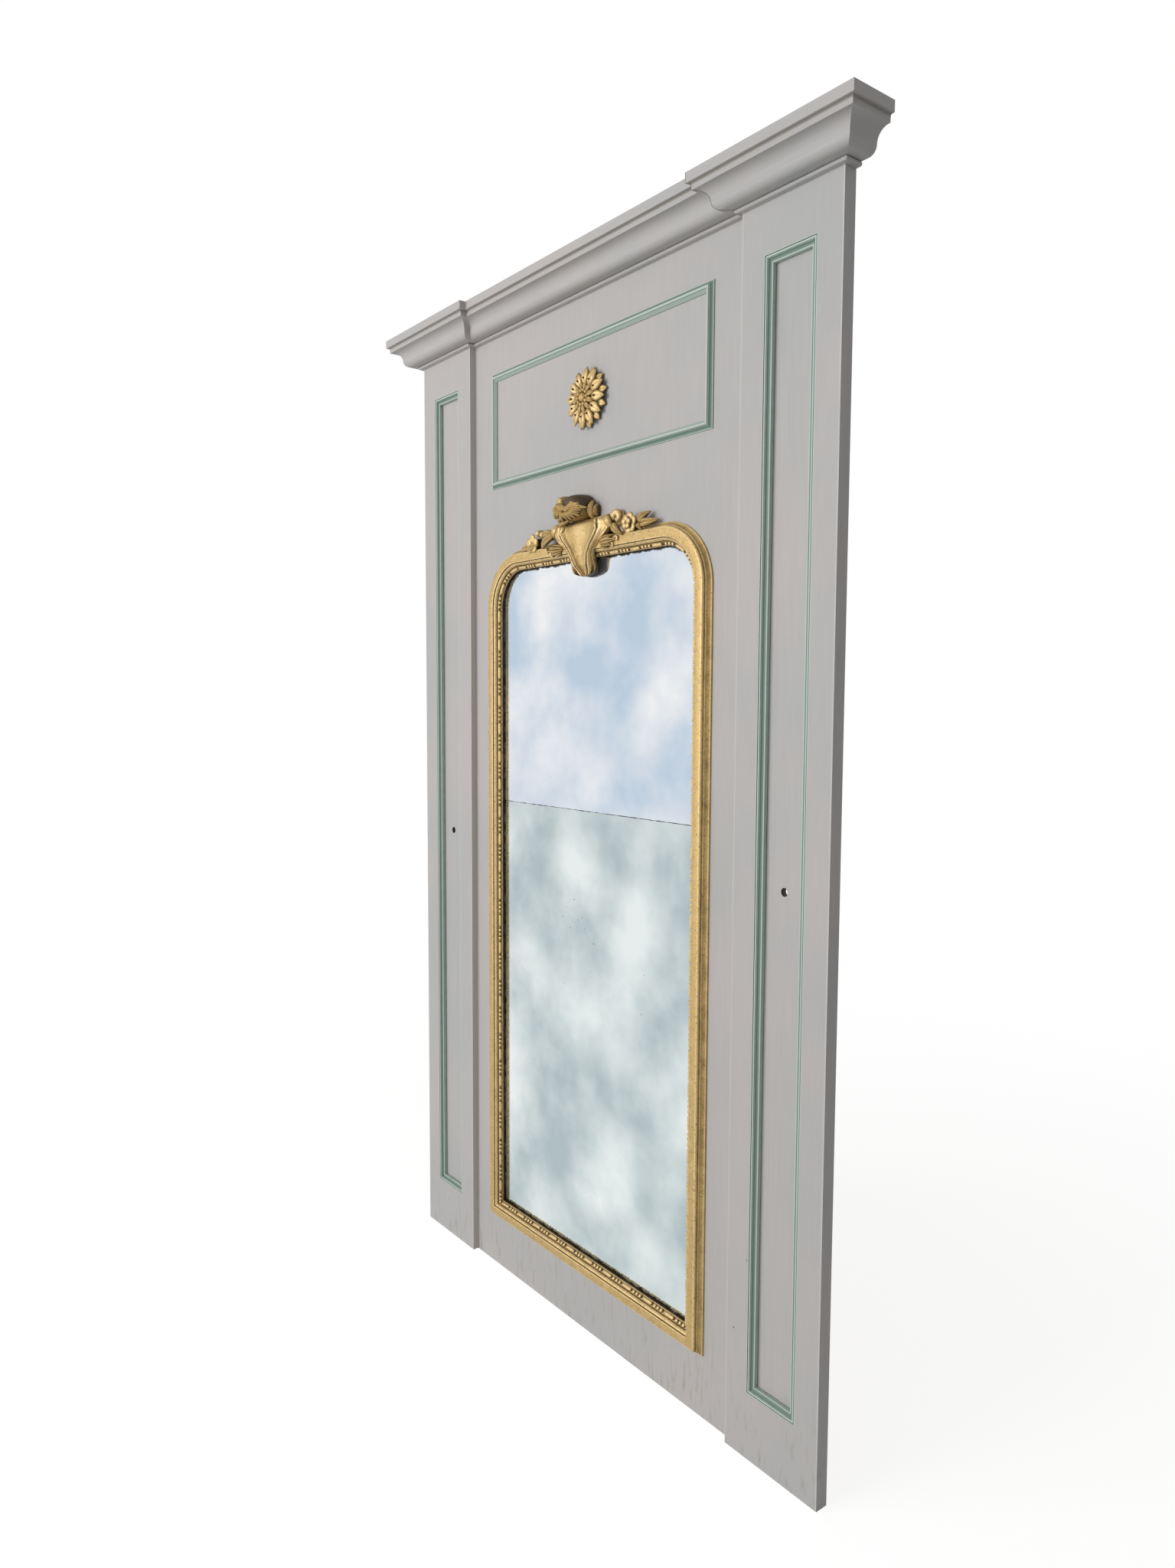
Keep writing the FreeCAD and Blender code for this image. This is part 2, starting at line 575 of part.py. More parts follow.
def frame_run(steps):
    """A section carried round the mirror: foot, right side, right corner, head, left corner, left side."""
    stile = CORNER_Z - MIRROR_BOTTOM
    right_centre = V(CORNER_X, FIELD, CORNER_Z)
    left_centre = V(-CORNER_X, FIELD, CORNER_Z)
    return {"bottom": bar(steps, V(-MIRROR_HALF, FIELD, MIRROR_BOTTOM), UP, FRONT, MIRROR_WIDTH, 1, -1),
            "right": bar(steps, V(MIRROR_HALF, FIELD, MIRROR_BOTTOM), -RIGHT, FRONT, stile, 1, 0),
            "right_corner": bend(steps, V(MIRROR_HALF, FIELD, CORNER_Z), right_centre, -RIGHT),
            "top": bar(steps, V(CORNER_X, FIELD, MIRROR_TOP), -UP, FRONT, 2 * CORNER_X),
            "left_corner": bend(steps, V(-CORNER_X, FIELD, MIRROR_TOP), left_centre, -UP),
            "left": bar(steps, V(-MIRROR_HALF, FIELD, CORNER_Z), RIGHT, FRONT, stile, 0, -1)}


def mirror_frame():
    """Gilt frame in six lengths, with pearl strips that bend round its top corners."""
    lengths = frame_run(gilt_section())
    holes = screw_holes(frame_screws())
    names = {"bottom": "foot_rail", "right": "right_stile", "left": "left_stile", "top": "head_rail"}
    made = {"mirror_" + names.get(place, place): length.cut(holes) for place, length in lengths.items()}
    pearls = frame_run(pearl_section())
    made["pearl_strip_bottom"] = pearls["bottom"]
    made["pearl_strip_top"] = pearls["top"]
    for side in ("left", "right"):
        made["pearl_strip_" + side] = one_solid([pearls[side], pearls[side + "_corner"]])
    return made


def mirror_plates():
    """Two plates on the centre board's bed, under the frame's lip, the upper one with round corners."""
    inset = LIP_START + PLATE_CLEARANCE
    half = MIRROR_HALF - inset
    upper = round_topped(inset, SEAM_HEIGHT + SEAM_GAP / 2)
    upper_edge = SEAM_HEIGHT - SEAM_GAP / 2
    bottom = MIRROR_BOTTOM + inset
    lower = [(-half, bottom), (half, bottom), (half, upper_edge), (-half, upper_edge)]
    return {"mirror_plate_upper": plate(upper, -BED_DEPTH, GLASS_THICKNESS),
            "mirror_plate_lower": plate(lower, -BED_DEPTH, GLASS_THICKNESS)}


# Crest

def leaf(root_x, root_height, tip_x, tip_height, width, rise):
    """A leaf from root to tip: a lens of two arcs on the field, drawn in towards the front."""
    middle = V((root_x + tip_x) / 2, CREST_LINE + (root_height + tip_height) / 2, 0)
    along = V(tip_x - root_x, tip_height - root_height, 0) / 2
    across = V(-along.y, along.x, 0).normalize() * width / 2

    def lens(scale, base):
        spots = [middle + way * scale for way in (-along, -across, along, across)]
        root, low, tip, high = [(spot.x, spot.y) for spot in spots]
        return placed(outline([root, (low, tip), (high, root)]), V(0, FIELD - base, 0), RIGHT, UP)

    return Part.makeLoft([lens(1, 0), lens(LEAF_FRONT, rise)], True, True)


def knob(x, height, radius, rise):
    """A flower head or bud: a drum whose front is rounded off by a ball."""
    seat = V(x, FIELD, CREST_LINE + height)
    ball = ball_radius(radius, KNOB_DOME * radius)
    drum = Part.makeCylinder(radius, rise, seat, FRONT)
    return drum.common(Part.makeSphere(ball, seat + FRONT * (rise - ball)))


def shield(share):
    """The cartouche's outline, arched, waisted and round at the foot, at its back (0) or front (1)."""
    bevel = share * CARTOUCHE_BEVEL
    half = CARTOUCHE_HALF_WIDTH - bevel
    waist = CARTOUCHE_WAIST - bevel
    foot = CARTOUCHE_FOOT - bevel
    top = CREST_LINE + CARTOUCHE_TOP - share * CARTOUCHE_TOP_BEVEL
    bottom = CREST_LINE - CARTOUCHE_DROP + share * CARTOUCHE_TIP_BEVEL
    foot_height = bottom + CARTOUCHE_FOOT_CURVE
    waist_height = (top + bottom) / 2
    steps = [(-half, top), ((0, top + CARTOUCHE_ARCH), (half, top)),
             ((waist, waist_height), (foot, foot_height)), ((0, bottom), (-foot, foot_height)),
             ((-waist, waist_height), (-half, top))]
    return placed(outline(steps), V(0, FIELD - share * CARTOUCHE_RISE, 0), RIGHT, UP)


def blossom_dome():
    """The large blossom on the cartouche: ellipses that draw in like an ellipsoid to a small flat."""
    sections = []
    for step in BLOSSOM_STEPS:
        share = math.sqrt(1 - (1 - BLOSSOM_FLAT ** 2) * step ** 2)
        ring = Part.Ellipse(V(0, 0, 0), BLOSSOM_HALF_WIDTH * share, BLOSSOM_HALF_HEIGHT * share).toShape()
        centre = V(BLOSSOM_CENTRE, FIELD - step * BLOSSOM_RISE, CREST_LINE + BLOSSOM_HEIGHT)
        sections.append(placed(Part.Wire(ring), centre, RIGHT, UP))
    return Part.makeLoft(sections, True)


def crest_room():
    """The spaces that the head rail with the glass below it, and the two corners, keep free of the crest."""
    floor = -CREST_SEAT_GAP
    plane = FIELD - CREST_SEAT_GAP
    reach = FRAME_FACE + 2 * CARTOUCHE_DROP

    def room(width):
        return [(0, floor), *gilt_side()[1:], (width, FACE_HEIGHT), (width, floor)]

    return [bar(room(reach), V(CORNER_X, plane, MIRROR_TOP), -UP, FRONT, 2 * CORNER_X),
            bend(room(FRAME_FACE), V(MIRROR_HALF, plane, CORNER_Z), V(CORNER_X, plane, CORNER_Z), -RIGHT),
            bend(room(FRAME_FACE), V(-CORNER_X, plane, MIRROR_TOP), V(-CORNER_X, plane, CORNER_Z), -UP)]


def crest():
    """Cartouche, blossom and two flower sprays, seated on the head rail and fitted round each other."""
    cartouche = Part.makeLoft([shield(0), shield(1)], True, True)
    pieces = {"crest_cartouche": [cartouche],
              "crest_blossom": [blossom_dome()]
              + [leaf(*spot, BLOSSOM_LEAF_RISE) for spot in BLOSSOM_LEAVES]
              + [knob(*spot, SPRAY_RISE) for spot in BLOSSOM_KNOBS],
              "crest_left_spray": [leaf(*spot, SPRAY_RISE) for spot in LEFT_LEAVES]
              + [knob(*spot, SPRAY_RISE) for spot in LEFT_KNOBS],
              "crest_right_spray": [leaf(*spot, SPRAY_RISE) for spot in RIGHT_LEAVES]
              + [knob(*spot, SPRAY_RISE) for spot in RIGHT_KNOBS]}
    taken = crest_room()
    made = {}
    for name, shapes in pieces.items():
        joined = shapes[0].multiFuse(shapes[1:]) if len(shapes) > 1 else shapes[0]
        made[name] = joined.cut(taken)
        taken.append(made[name])
    return made


# Cornice

def cornice():
    """Crown moulding in seven mitred lengths, hollow behind but for the end returns, whose backs show."""
    depth = BOARD_BACK - PILASTER_FACE
    step = FIELD - PILASTER_FACE
    hollow = cornice_section(CORNICE_BACK_HEIGHT)
    full = cornice_section(CORNICE_HEIGHT - DUST_BOARD_THICKNESS)
    runs = (("right_end_return", full, HALF_PANEL, BOARD_BACK, RIGHT, depth, 0, 1),
            ("right_front", hollow, HALF_PANEL, PILASTER_FACE, FRONT, PILASTER_WIDTH, -1, 1),
            ("right_inner_return", hollow, PILASTER_INNER, PILASTER_FACE, -RIGHT, step, -1, -1),
            ("centre", hollow, PILASTER_INNER, FIELD, FRONT, 2 * PILASTER_INNER, 1, -1),
            ("left_inner_return", hollow, -PILASTER_INNER, FIELD, RIGHT, step, 1, 1),
            ("left_front", hollow, -PILASTER_INNER, PILASTER_FACE, FRONT, PILASTER_WIDTH, -1, 1),
            ("left_end_return", full, -HALF_PANEL, PILASTER_FACE, -RIGHT, depth, -1, 0))
    return {"cornice_" + name: bar(section, V(x, y, PANEL_HEIGHT), outward, UP, length, start, end)
            for name, section, x, y, outward, length, start, end in runs}


def dust_board():
    """Board that closes the cornice from above, with an outline that follows its breaks."""
    rim = CORNICE_PROJECTION - CORNICE_RIM
    right = [(HALF_PANEL + rim, BOARD_BACK), (HALF_PANEL + rim, PILASTER_FACE - rim),
             (PILASTER_INNER - rim, PILASTER_FACE - rim), (PILASTER_INNER - rim, FIELD - rim)]
    left = [(-x, y) for x, y in reversed(right)]
    board = Part.Face(outline(right + left)).extrude(V(0, 0, DUST_BOARD_THICKNESS))
    board.translate(V(0, 0, BOARD_TOP))
    return board


def glue_blocks():
    """Three-cornered blocks glued under the dust board, along the centre and behind each front."""
    top = CORNICE_HEIGHT - DUST_BOARD_THICKNESS
    steps = [(0, top), (0, top - GLUE_BLOCK_LEG), (GLUE_BLOCK_LEG, top)]
    spacing = 2 * PILASTER_INNER / CENTRE_GLUE_BLOCKS
    starts = [(PILASTER_INNER - spacing * (count + 0.5), FIELD) for count in range(CENTRE_GLUE_BLOCKS)]
    starts += [(side * PILASTER_CENTRE, PILASTER_FACE) for side in (-1, 1)]
    return Part.makeCompound([bar(steps, V(x + GLUE_BLOCK_LENGTH / 2, y, PANEL_HEIGHT), FRONT, UP,
                                  GLUE_BLOCK_LENGTH) for x, y in starts])


# Back of the panel

def battens():
    """Three battens with bevelled back edges, the upper one cut out for the hanging plates."""
    half = BATTEN_WIDTH / 2
    bevel = BATTEN_BEVEL
    steps = [(-half, 0), (half, 0), (half, BATTEN_THICKNESS - bevel), (half - bevel, BATTEN_THICKNESS),
             (bevel - half, BATTEN_THICKNESS), (-half, BATTEN_THICKNESS - bevel)]
    length = PANEL_WIDTH - 2 * BATTEN_INSET
    holes = screw_holes(batten_screws())
    made = {}
    for name, height in (("lower_batten", LOWER_BATTEN_HEIGHT), ("middle_batten", MIDDLE_BATTEN_HEIGHT),
                         ("upper_batten", HANGING_HEIGHT)):
        solid = Part.Face(outline(steps)).extrude(V(0, 0, length))
        solid = placed(solid, V(length / 2, BOARD_BACK, height), UP, BACK)
        made[name] = solid.cut(holes)
    seats = []
    for x in (-HANGING_SPACING / 2, HANGING_SPACING / 2):
        air = PLATE_SEAT_CLEARANCE
        seats.append(block(x - PLATE_WIDTH / 2 - air, x + PLATE_WIDTH / 2 + air, -PLATE_THICKNESS, 0,
                           HANGING_HEIGHT - PLATE_BELOW - air, HANGING_HEIGHT + PLATE_ABOVE + air))
        room = KEYHOLE_DIAMETER / 2 + KEYHOLE_ROOM
        seats.append(block(x - room, x + room, -KEYHOLE_MORTISE_DEPTH, -PLATE_THICKNESS,
                           HANGING_HEIGHT - room, HANGING_HEIGHT + KEYHOLE_SLOT_LENGTH + room))
        seats += screw_holes(plate_screws(x))
    made["upper_batten"] = made["upper_batten"].cut(seats)
    return made


def hanging_plate(x):
    """Steel plate with a keyhole: a round entry and a slot above it that drops over the wall screw."""
    body = block(x - PLATE_WIDTH / 2, x + PLATE_WIDTH / 2, -PLATE_THICKNESS, 0,
                 HANGING_HEIGHT - PLATE_BELOW, HANGING_HEIGHT + PLATE_ABOVE)
    slot = KEYHOLE_SLOT_WIDTH / 2
    slot_top = HANGING_HEIGHT + KEYHOLE_SLOT_LENGTH
    entry = Part.makeCylinder(KEYHOLE_DIAMETER / 2, PLATE_THICKNESS, V(x, 0, HANGING_HEIGHT), FRONT)
    end = Part.makeCylinder(slot, PLATE_THICKNESS, V(x, 0, slot_top), FRONT)
    neck = block(x - slot, x + slot, -PLATE_THICKNESS, 0, HANGING_HEIGHT, slot_top)
    return body.cut([entry, end, neck] + screw_holes(plate_screws(x)))


def screws(places):
    """A group of screws."""
    return Part.makeCompound([wood_screw(*place) for place in places])


def hardware():
    """Hanging plates and the three groups of screws."""
    left, right = -HANGING_SPACING / 2, HANGING_SPACING / 2
    return {"left_hanging_plate": hanging_plate(left), "right_hanging_plate": hanging_plate(right),
            "hanging_plate_screws": screws(plate_screws(left) + plate_screws(right)),
            "batten_screws": screws(batten_screws()),
            "frame_screws": screws(frame_screws() + [rosette_screw()])}


# All pieces, moved so that the origin is the middle of the hanging line on the wall

PIECES = {**back_boards(), **pilasters(), **sunk_mouldings(), **upper_frame(), **rosette(), **mirror_frame(),
          **mirror_plates(), **crest(), **cornice(), "cornice_dust_board": dust_board(),
          "cornice_glue_blocks": glue_blocks(), **battens(), **hardware()}

os.makedirs("parts", exist_ok=True)
for node, shape in PIECES.items():
    solids = [solid.translated(V(0, 0, -HANGING_HEIGHT)) for solid in shape.Solids]
    piece = solids[0] if len(solids) == 1 else Part.makeCompound(solids)
    piece.exportStep("parts/" + node + ".step")
    print(node, len(solids), "solid(s)", round(piece.Volume), "mm3", "" if piece.isValid() else "INVALID")
print(len(PIECES), "nodes")
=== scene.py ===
# %% [markdown]
# A trumeau mirror: a tall painted panel of pine with two pilasters and a crown cornice, green mouldings, a gilt
# rosette, and a mirror of two old plates in a gilt frame with a carved crest. The solid model gives every piece its
# place and size. This lesson dresses it: each moulding is a profile carried along its run, each carving is a
# surface worked out on a grid, and each finish is a set of nodes.

# %% load the frame
import bpy
import bmesh
import numpy as np
from mathutils import Matrix, Vector


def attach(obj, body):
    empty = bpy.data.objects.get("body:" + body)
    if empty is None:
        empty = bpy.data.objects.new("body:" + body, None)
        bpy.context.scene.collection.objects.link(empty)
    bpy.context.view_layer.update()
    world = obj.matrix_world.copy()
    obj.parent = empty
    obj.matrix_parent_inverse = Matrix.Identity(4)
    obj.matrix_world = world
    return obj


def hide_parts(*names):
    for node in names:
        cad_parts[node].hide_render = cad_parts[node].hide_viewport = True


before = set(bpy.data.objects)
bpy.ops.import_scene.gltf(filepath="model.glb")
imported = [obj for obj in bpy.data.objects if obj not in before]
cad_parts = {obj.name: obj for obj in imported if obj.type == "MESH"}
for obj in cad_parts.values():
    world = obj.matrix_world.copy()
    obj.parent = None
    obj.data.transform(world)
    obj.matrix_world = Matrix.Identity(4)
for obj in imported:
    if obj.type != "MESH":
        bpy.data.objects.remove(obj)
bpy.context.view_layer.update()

# %% [markdown]
# The joiner's sizes, in millimetres: heights from the panel's foot, depths from the wall, front towards -Y. They
# repeat the solid model's values, so that a new surface lands exactly where its solid is. Metres and the hanging
# line, which is the origin, come in when a mesh is made, and in the finishes.

# %% sizes of the panel and the mirror
HANGING_HEIGHT = 1690.0
FOOT = -HANGING_HEIGHT / 1000
HALF_PANEL, PANEL_HEIGHT, PILASTER_INNER = 550.0, 1834.0, 368.0
BOARD_BACK, FIELD, PILASTER_FACE = -18.0, -28.0, -40.0
SUNK_INNER, SUNK_OUTER, SUNK_BOTTOM, SUNK_TOP = 411.0, 507.0, 103.0, 1764.0
HOLE_X, HOLE_HEIGHT, HOLE_RADIUS = 459.0, 873.0, 6.0
UPPER_HALF, UPPER_BOTTOM, UPPER_TOP = 302.0, 1551.0, 1767.0
MIRROR_HALF, MIRROR_BOTTOM, MIRROR_TOP, CORNER_RADIUS = 307.0, 104.0, 1426.0, 105.0
FRAME_FACE, LIP_START, LIP_DEPTH, GLASS_DEPTH, GLASS_THICKNESS, CREST_LINE = 36.8, 26.8, 2.8, 3.0, 3.0, 1422.0
CORNER_X, CORNER_Z = MIRROR_HALF - CORNER_RADIUS, MIRROR_TOP - CORNER_RADIUS
SEAM_HEIGHT, ROSETTE_HEIGHT = 950.0, 1659.0
RIGHT, UP, FRONT = np.array([1.0, 0, 0]), np.array([0, 0, 1.0]), np.array([0, -1.0, 0])
chance = np.random.default_rng(18)
print("sight opening:", 2 * (MIRROR_HALF - FRAME_FACE), "mm wide")

# %% [markdown]
# One helper turns grids of points into a piece. A grid may be one sheet or a stack of sheets; the last column joins
# the first, which makes a tube, and caps close a tube's two ends. Points that fall together, as at a petal's tip,
# are merged, so that poles are closed, and the faces are turned outwards.

# %% a piece from grids of points
def add_piece(name, grids, nodes, finish, sharp=35):
    """One mesh from a list of (points, caps, ridge): points has the shape sheets x rows x columns x 3, in
    millimetres. Neighbours in rows and columns make quads. Ridge is a value per point that finishes can read."""
    points, faces, ridges, start = [], [], [], 0
    for grid, caps, ridge in grids:
        grid = grid if grid.ndim == 4 else grid[None]
        index = start + np.arange(grid[..., 0].size).reshape(grid.shape[:3])
        across = np.concatenate([index, index[:, :, :1]], 2)
        quads = np.stack([across[:, :-1, :-1], across[:, :-1, 1:], across[:, 1:, 1:], across[:, 1:, :-1]], -1)
        faces += quads.reshape(-1, 4).tolist()
        if caps:
            faces += index[:, 0].tolist() + index[:, -1].tolist()
        points.append(grid.reshape(-1, 3))
        ridges.append(np.broadcast_to(ridge, grid.shape[:3]).reshape(-1))
        start += index.size
    metres = (np.concatenate(points) - HANGING_HEIGHT * UP) / 1000
    mesh = bpy.data.meshes.new(name)
    mesh.from_pydata(metres.tolist(), [], faces)
    mesh.attributes.new("ridge", "FLOAT", "POINT").data.foreach_set("value", np.concatenate(ridges).astype(np.float32))
    work = bmesh.new()
    work.from_mesh(mesh)
    bmesh.ops.remove_doubles(work, verts=work.verts, dist=2e-6)
    bmesh.ops.dissolve_degenerate(work, edges=work.edges, dist=1e-6)
    bmesh.ops.recalc_face_normals(work, faces=work.faces)
    work.to_mesh(mesh)
    work.free()
    mesh.polygons.foreach_set("use_smooth", np.ones(len(mesh.polygons), bool))
    mesh.set_sharp_from_angle(angle=np.radians(sharp))
    mesh.materials.append(finish)
    piece = bpy.data.objects.new(name, mesh)
    bpy.context.scene.collection.objects.link(piece)
    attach(piece, "root")
    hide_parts(*nodes)
    print(name, "stands for", len(nodes), "node(s),", len(mesh.polygons), "faces")


# %% [markdown]
# Finishes are node trees. One function adds a node with its settings and its links, and one turns an sRGB hex
# colour to the linear light that the nodes work in. The others are short names for common nodes; each
# finds its tree by the output that it reads.

# %% node and colour helpers
def set_sockets(node, sockets):
    """Gives each socket of a node a value, or a link from another node's output."""
    for name, value in sockets.items():
        if isinstance(value, bpy.types.NodeSocket):
            node.id_data.links.new(value, node.inputs[name])
        else:
            node.inputs[name].default_value = value


def add_node(tree, kind, sockets, **settings):
    """One node with its sockets and its other settings."""
    made = tree.nodes.new("ShaderNode" + kind)
    for name, value in settings.items():
        setattr(made, name, value)
    set_sockets(made, sockets)
    return made


def colour(code):
    """Linear red, green, blue and alpha of an sRGB hex colour: low values divide by 12.92, the rest take a power."""
    srgb = np.array([int(code[k:k + 2], 16) for k in (1, 3, 5)]) / 255
    linear = np.where(srgb < 0.04045, srgb / 12.92, ((srgb + 0.055) / 1.055) ** 2.4)
    return (*linear.tolist(), 1.0)


def mixed(share, first, second):
    """Two colours mixed by a share; each is a hex colour or an output."""
    ends = [colour(end) if isinstance(end, str) else end for end in (first, second)]
    return add_node(share.id_data, "Mix", {0: share, 6: ends[0], 7: ends[1]}, data_type="RGBA").outputs[2]


def ranged(value, low=0.0, high=1.0, first=0.0, last=1.0):
    """Goes from first to last while the value goes from low to high, and stays there beyond them."""
    return add_node(value.id_data, "MapRange", {0: value, 1: low, 2: high, 3: first, 4: last}).outputs[0]


def noise(at, scale, detail, distortion=0.0):
    """Noise between 0 and 1 whose blots are about 1 / scale metres wide."""
    sockets = {"Vector": at, "Scale": scale, "Detail": detail, "Distortion": distortion}
    return add_node(at.id_data, "TexNoise", sockets).outputs[0]


def maths(operation, *values):
    """One sum of an output and more outputs or values."""
    return add_node(values[0].id_data, "Math", dict(enumerate(values)), operation=operation).outputs[0]


def stretched(at, scale, turn=(0.0, 0.0, 0.0)):
    """Coordinates times a scale for each axis, then turned."""
    return add_node(at.id_data, "Mapping", {"Vector": at, "Scale": scale, "Rotation": turn}).outputs[0]


def distance(at, point):
    """Distance of the coordinates from a point, in metres."""
    return add_node(at.id_data, "VectorMath", {0: at, 1: point}, operation="DISTANCE").outputs["Value"]


def new_finish(name):
    """An empty material with its Principled shader, its Object coordinates and the pieces' ridge value."""
    material = bpy.data.materials.new(name)
    material.use_nodes = True
    tree = material.node_tree
    place = add_node(tree, "TexCoord", {}).outputs["Object"]
    ridge = add_node(tree, "Attribute", {}, attribute_name="ridge").outputs["Fac"]
    return material, tree.nodes["Principled BSDF"], place, ridge


def dress(shader, tone, rough, metal=0.0, bump=None):
    """Gives the shader its colour, roughness and metal. Bump is a height, its strength and its depth in metres."""
    sockets = {"Base Color": tone, "Roughness": rough, "Metallic": metal}
    if bump:
        heights = dict(zip(("Height", "Strength", "Distance"), bump))
        sockets["Normal"] = add_node(shader.id_data, "Bump", heights).outputs[0]
    set_sockets(shader, sockets)


print("white:", colour("#FFFFFF"))

# %% [markdown]
# The panel is brushed with a matt warm grey oil paint over pine. The grey drifts between a pinkish and a cooler cast,
# fine brush lines follow the boards, filled nail holes leave a few dark pin points, and the foot is scuffed. The
# boards' backs were never painted. A plain colour would look like plastic, so noise at the real size of each mark
# does the work: brush lines about 2 mm apart, drifts about 300 mm long.

# %% matt oil paint on pine
LINE_HALF = 0.0012
BREAK_MITRE = (PILASTER_INNER - PILASTER_FACE) / 1000
ARRISES = ((PILASTER_INNER + 1.0) / 1000, (HALF_PANEL - 1.2) / 1000)
HOLE_PLACE = (HOLE_X / 1000, 0.0, (HOLE_HEIGHT - HANGING_HEIGHT) / 1000)


def brushed_paint(name, grain, on_cornice=False):
    """Grey oil paint. Grain is the stretch of the brush lines along x, y and z: small means long along that axis."""
    material, shader, place, ridge = new_finish(name)
    tree = material.node_tree
    x, y, z = add_node(tree, "SeparateXYZ", {0: place}).outputs
    aside = maths("ABSOLUTE", x)
    lines = noise(stretched(place, grain), 450.0, 3.0)
    drift = noise(place, 3.3, 4.0)
    tone = mixed(ranged(drift, 0.35, 0.65), "#C0BAB8", "#B6B6B5")
    tone = mixed(ranged(lines, 0.35, 0.7, 0.0, 0.1), tone, "#A09B97")
    # Darker in the quirks, where the ridge value is negative: dust and old paint, and painted shade in the hollows.
    tone = mixed(ranged(ridge, -0.15, -0.9, 0.0, 0.7), tone, "#7F786F")
    # Filled nail holes: one dark point of about 1 mm in some of the cells, which are 140 mm wide.
    cells = add_node(tree, "TexVoronoi", {"Vector": place, "Scale": 7.0}).outputs
    chosen = add_node(tree, "SeparateColor", {0: cells["Color"]}).outputs[0]
    kept = maths("GREATER_THAN", chosen, 0.55)
    point = maths("MULTIPLY", ranged(cells["Distance"], 0.013, 0.007), kept)
    tone = mixed(point, tone, "#6A625C")
    # Scuffs: streaks that only show within about 150 mm of the foot.
    streaks = noise(stretched(place, (5.0, 1.0, 1.0), (0.0, 0.5, 0.0)), 26.0, 5.0)
    scuff = ranged(streaks, 0.55, 0.72, 0.0, 0.6)
    scuff = maths("MULTIPLY", scuff, ranged(z, FOOT + 0.17, FOOT + 0.01))
    tone = mixed(scuff, tone, "#938B82")
    if on_cornice:
        # The mitre of the right break has opened: a dark line of about 2 mm where x - y is BREAK_MITRE.
        line = maths("COMPARE", maths("SUBTRACT", x, y), BREAK_MITRE, LINE_HALF)
        tone = mixed(line, tone, "#6F6961")
    else:
        # Painted highlight: a pale line of about 2 mm along the pilasters' two edges, where the arrises catch the
        # light, broken up by the drift.
        edges = [maths("COMPARE", aside, arris, LINE_HALF) for arris in ARRISES]
        line = maths("MULTIPLY", maths("ADD", *edges), drift)
        tone = mixed(line, tone, "#D2CFCA")
    # Painted shade: dark wood inside the two drilled holes.
    flat = add_node(tree, "CombineXYZ", {0: aside, 2: z}).outputs[0]
    drilled = [HOLE_RADIUS / 1000 + margin for margin in (0.0008, 0.0002)]
    tone = mixed(ranged(distance(flat, HOLE_PLACE), *drilled), tone, "#2E2721")
    # Bare pine on the boards' backs.
    bare = ranged(y, BOARD_BACK / 1000 - 0.0006, BOARD_BACK / 1000 - 0.0002)
    rings = noise(stretched(place, (1.0, 1.0, 0.06)), 90.0, 4.0)
    tone = mixed(bare, tone, mixed(rings, "#C4A078", "#8A6540"))
    dress(shader, tone, ranged(lines, 0.3, 0.7, 0.52, 0.66), bump=(lines, 0.12, 0.0004))
    return material


board_paint = brushed_paint("matt_grey_oil_paint_on_boards", (1.0, 1.0, 0.03))
cornice_paint = brushed_paint("matt_grey_oil_paint_on_cornice", (0.03, 1.0, 1.0), on_cornice=True)
print("paints:", board_paint.name, cornice_paint.name)

# %% [markdown]
# The mouldings are picked out in sage green. The arrises are paler, from wear and painted highlight, and the quirks
# darker, from an older coat and painted shade. The ridge value of each profile says where an arris or a quirk is, so
# the pale and the dark follow the shape itself and stay the same from every side. Noise of about 15 mm breaks it up.

# %% worn sage green paint
sage_green, shader, place, ridge = new_finish("sage_green_paint_wear_and_painted_shade")
patch = noise(place, 60.0, 4.0)
shape = maths("ADD", ridge, maths("MULTIPLY_ADD", patch, 0.6, -0.3))
# Painted shade in the quirks and painted highlight on the arrises, together with wear.
tone = mixed(ranged(shape, 0.0, -0.6), "#ABBDB3", "#6E857A")
tone = mixed(ranged(shape, 0.3, 0.9), tone, "#C2CDC6")
dress(shader, tone, 0.5, bump=(patch, 0.2, 0.0004))
print("paint:", sage_green.name)

# %% [markdown]
# The frame, the pearls and the carvings are gilded: gold leaf over a brown bole. Leaf is metal, so its colour comes
# from what it reflects. The ridges are brighter, from rubbed leaf and painted highlight, and the hollows darker, from
# dark bole and dust and painted shade; pin pricks of bole show through everywhere. Wear and roughness drift over
# about 20 mm, since the leaf is laid in small squares.

# %% gold leaf over bole
bright_leaf, shader, place, ridge = new_finish("gold_leaf_over_bole")
patch, grit = noise(place, 45.0, 5.0), noise(place, 420.0, 2.0)
shape = maths("ADD", ridge, maths("MULTIPLY_ADD", patch, 1.2, -0.6))
# Painted shade in the hollows and painted highlight on the ridges, over the bole and the rubbed leaf.
dark = ranged(shape, -0.05, -0.7)
tone = mixed(dark, "#BEA168", "#463319")
tone = mixed(ranged(shape, 0.1, 0.7), tone, "#DCC08A")
tone = mixed(ranged(grit, 0.57, 0.7, 0.0, 0.7), tone, "#5A4226")
metal = ranged(dark, 0.2, 1.0, 0.5, 0.15)
dress(shader, tone, ranged(patch, 0.3, 0.7, 0.42, 0.58), metal, (grit, 0.45, 0.0005))
print("gilding:", bright_leaf.name)

# %% [markdown]
# Back of the panel: bare pine battens and a dust board, with steel keyhole plates and screws. Pine shows growth
# rings as long streaks about 10 mm apart; steel was rolled and has gone dull, with rougher, browner blotches of
# about 8 mm.

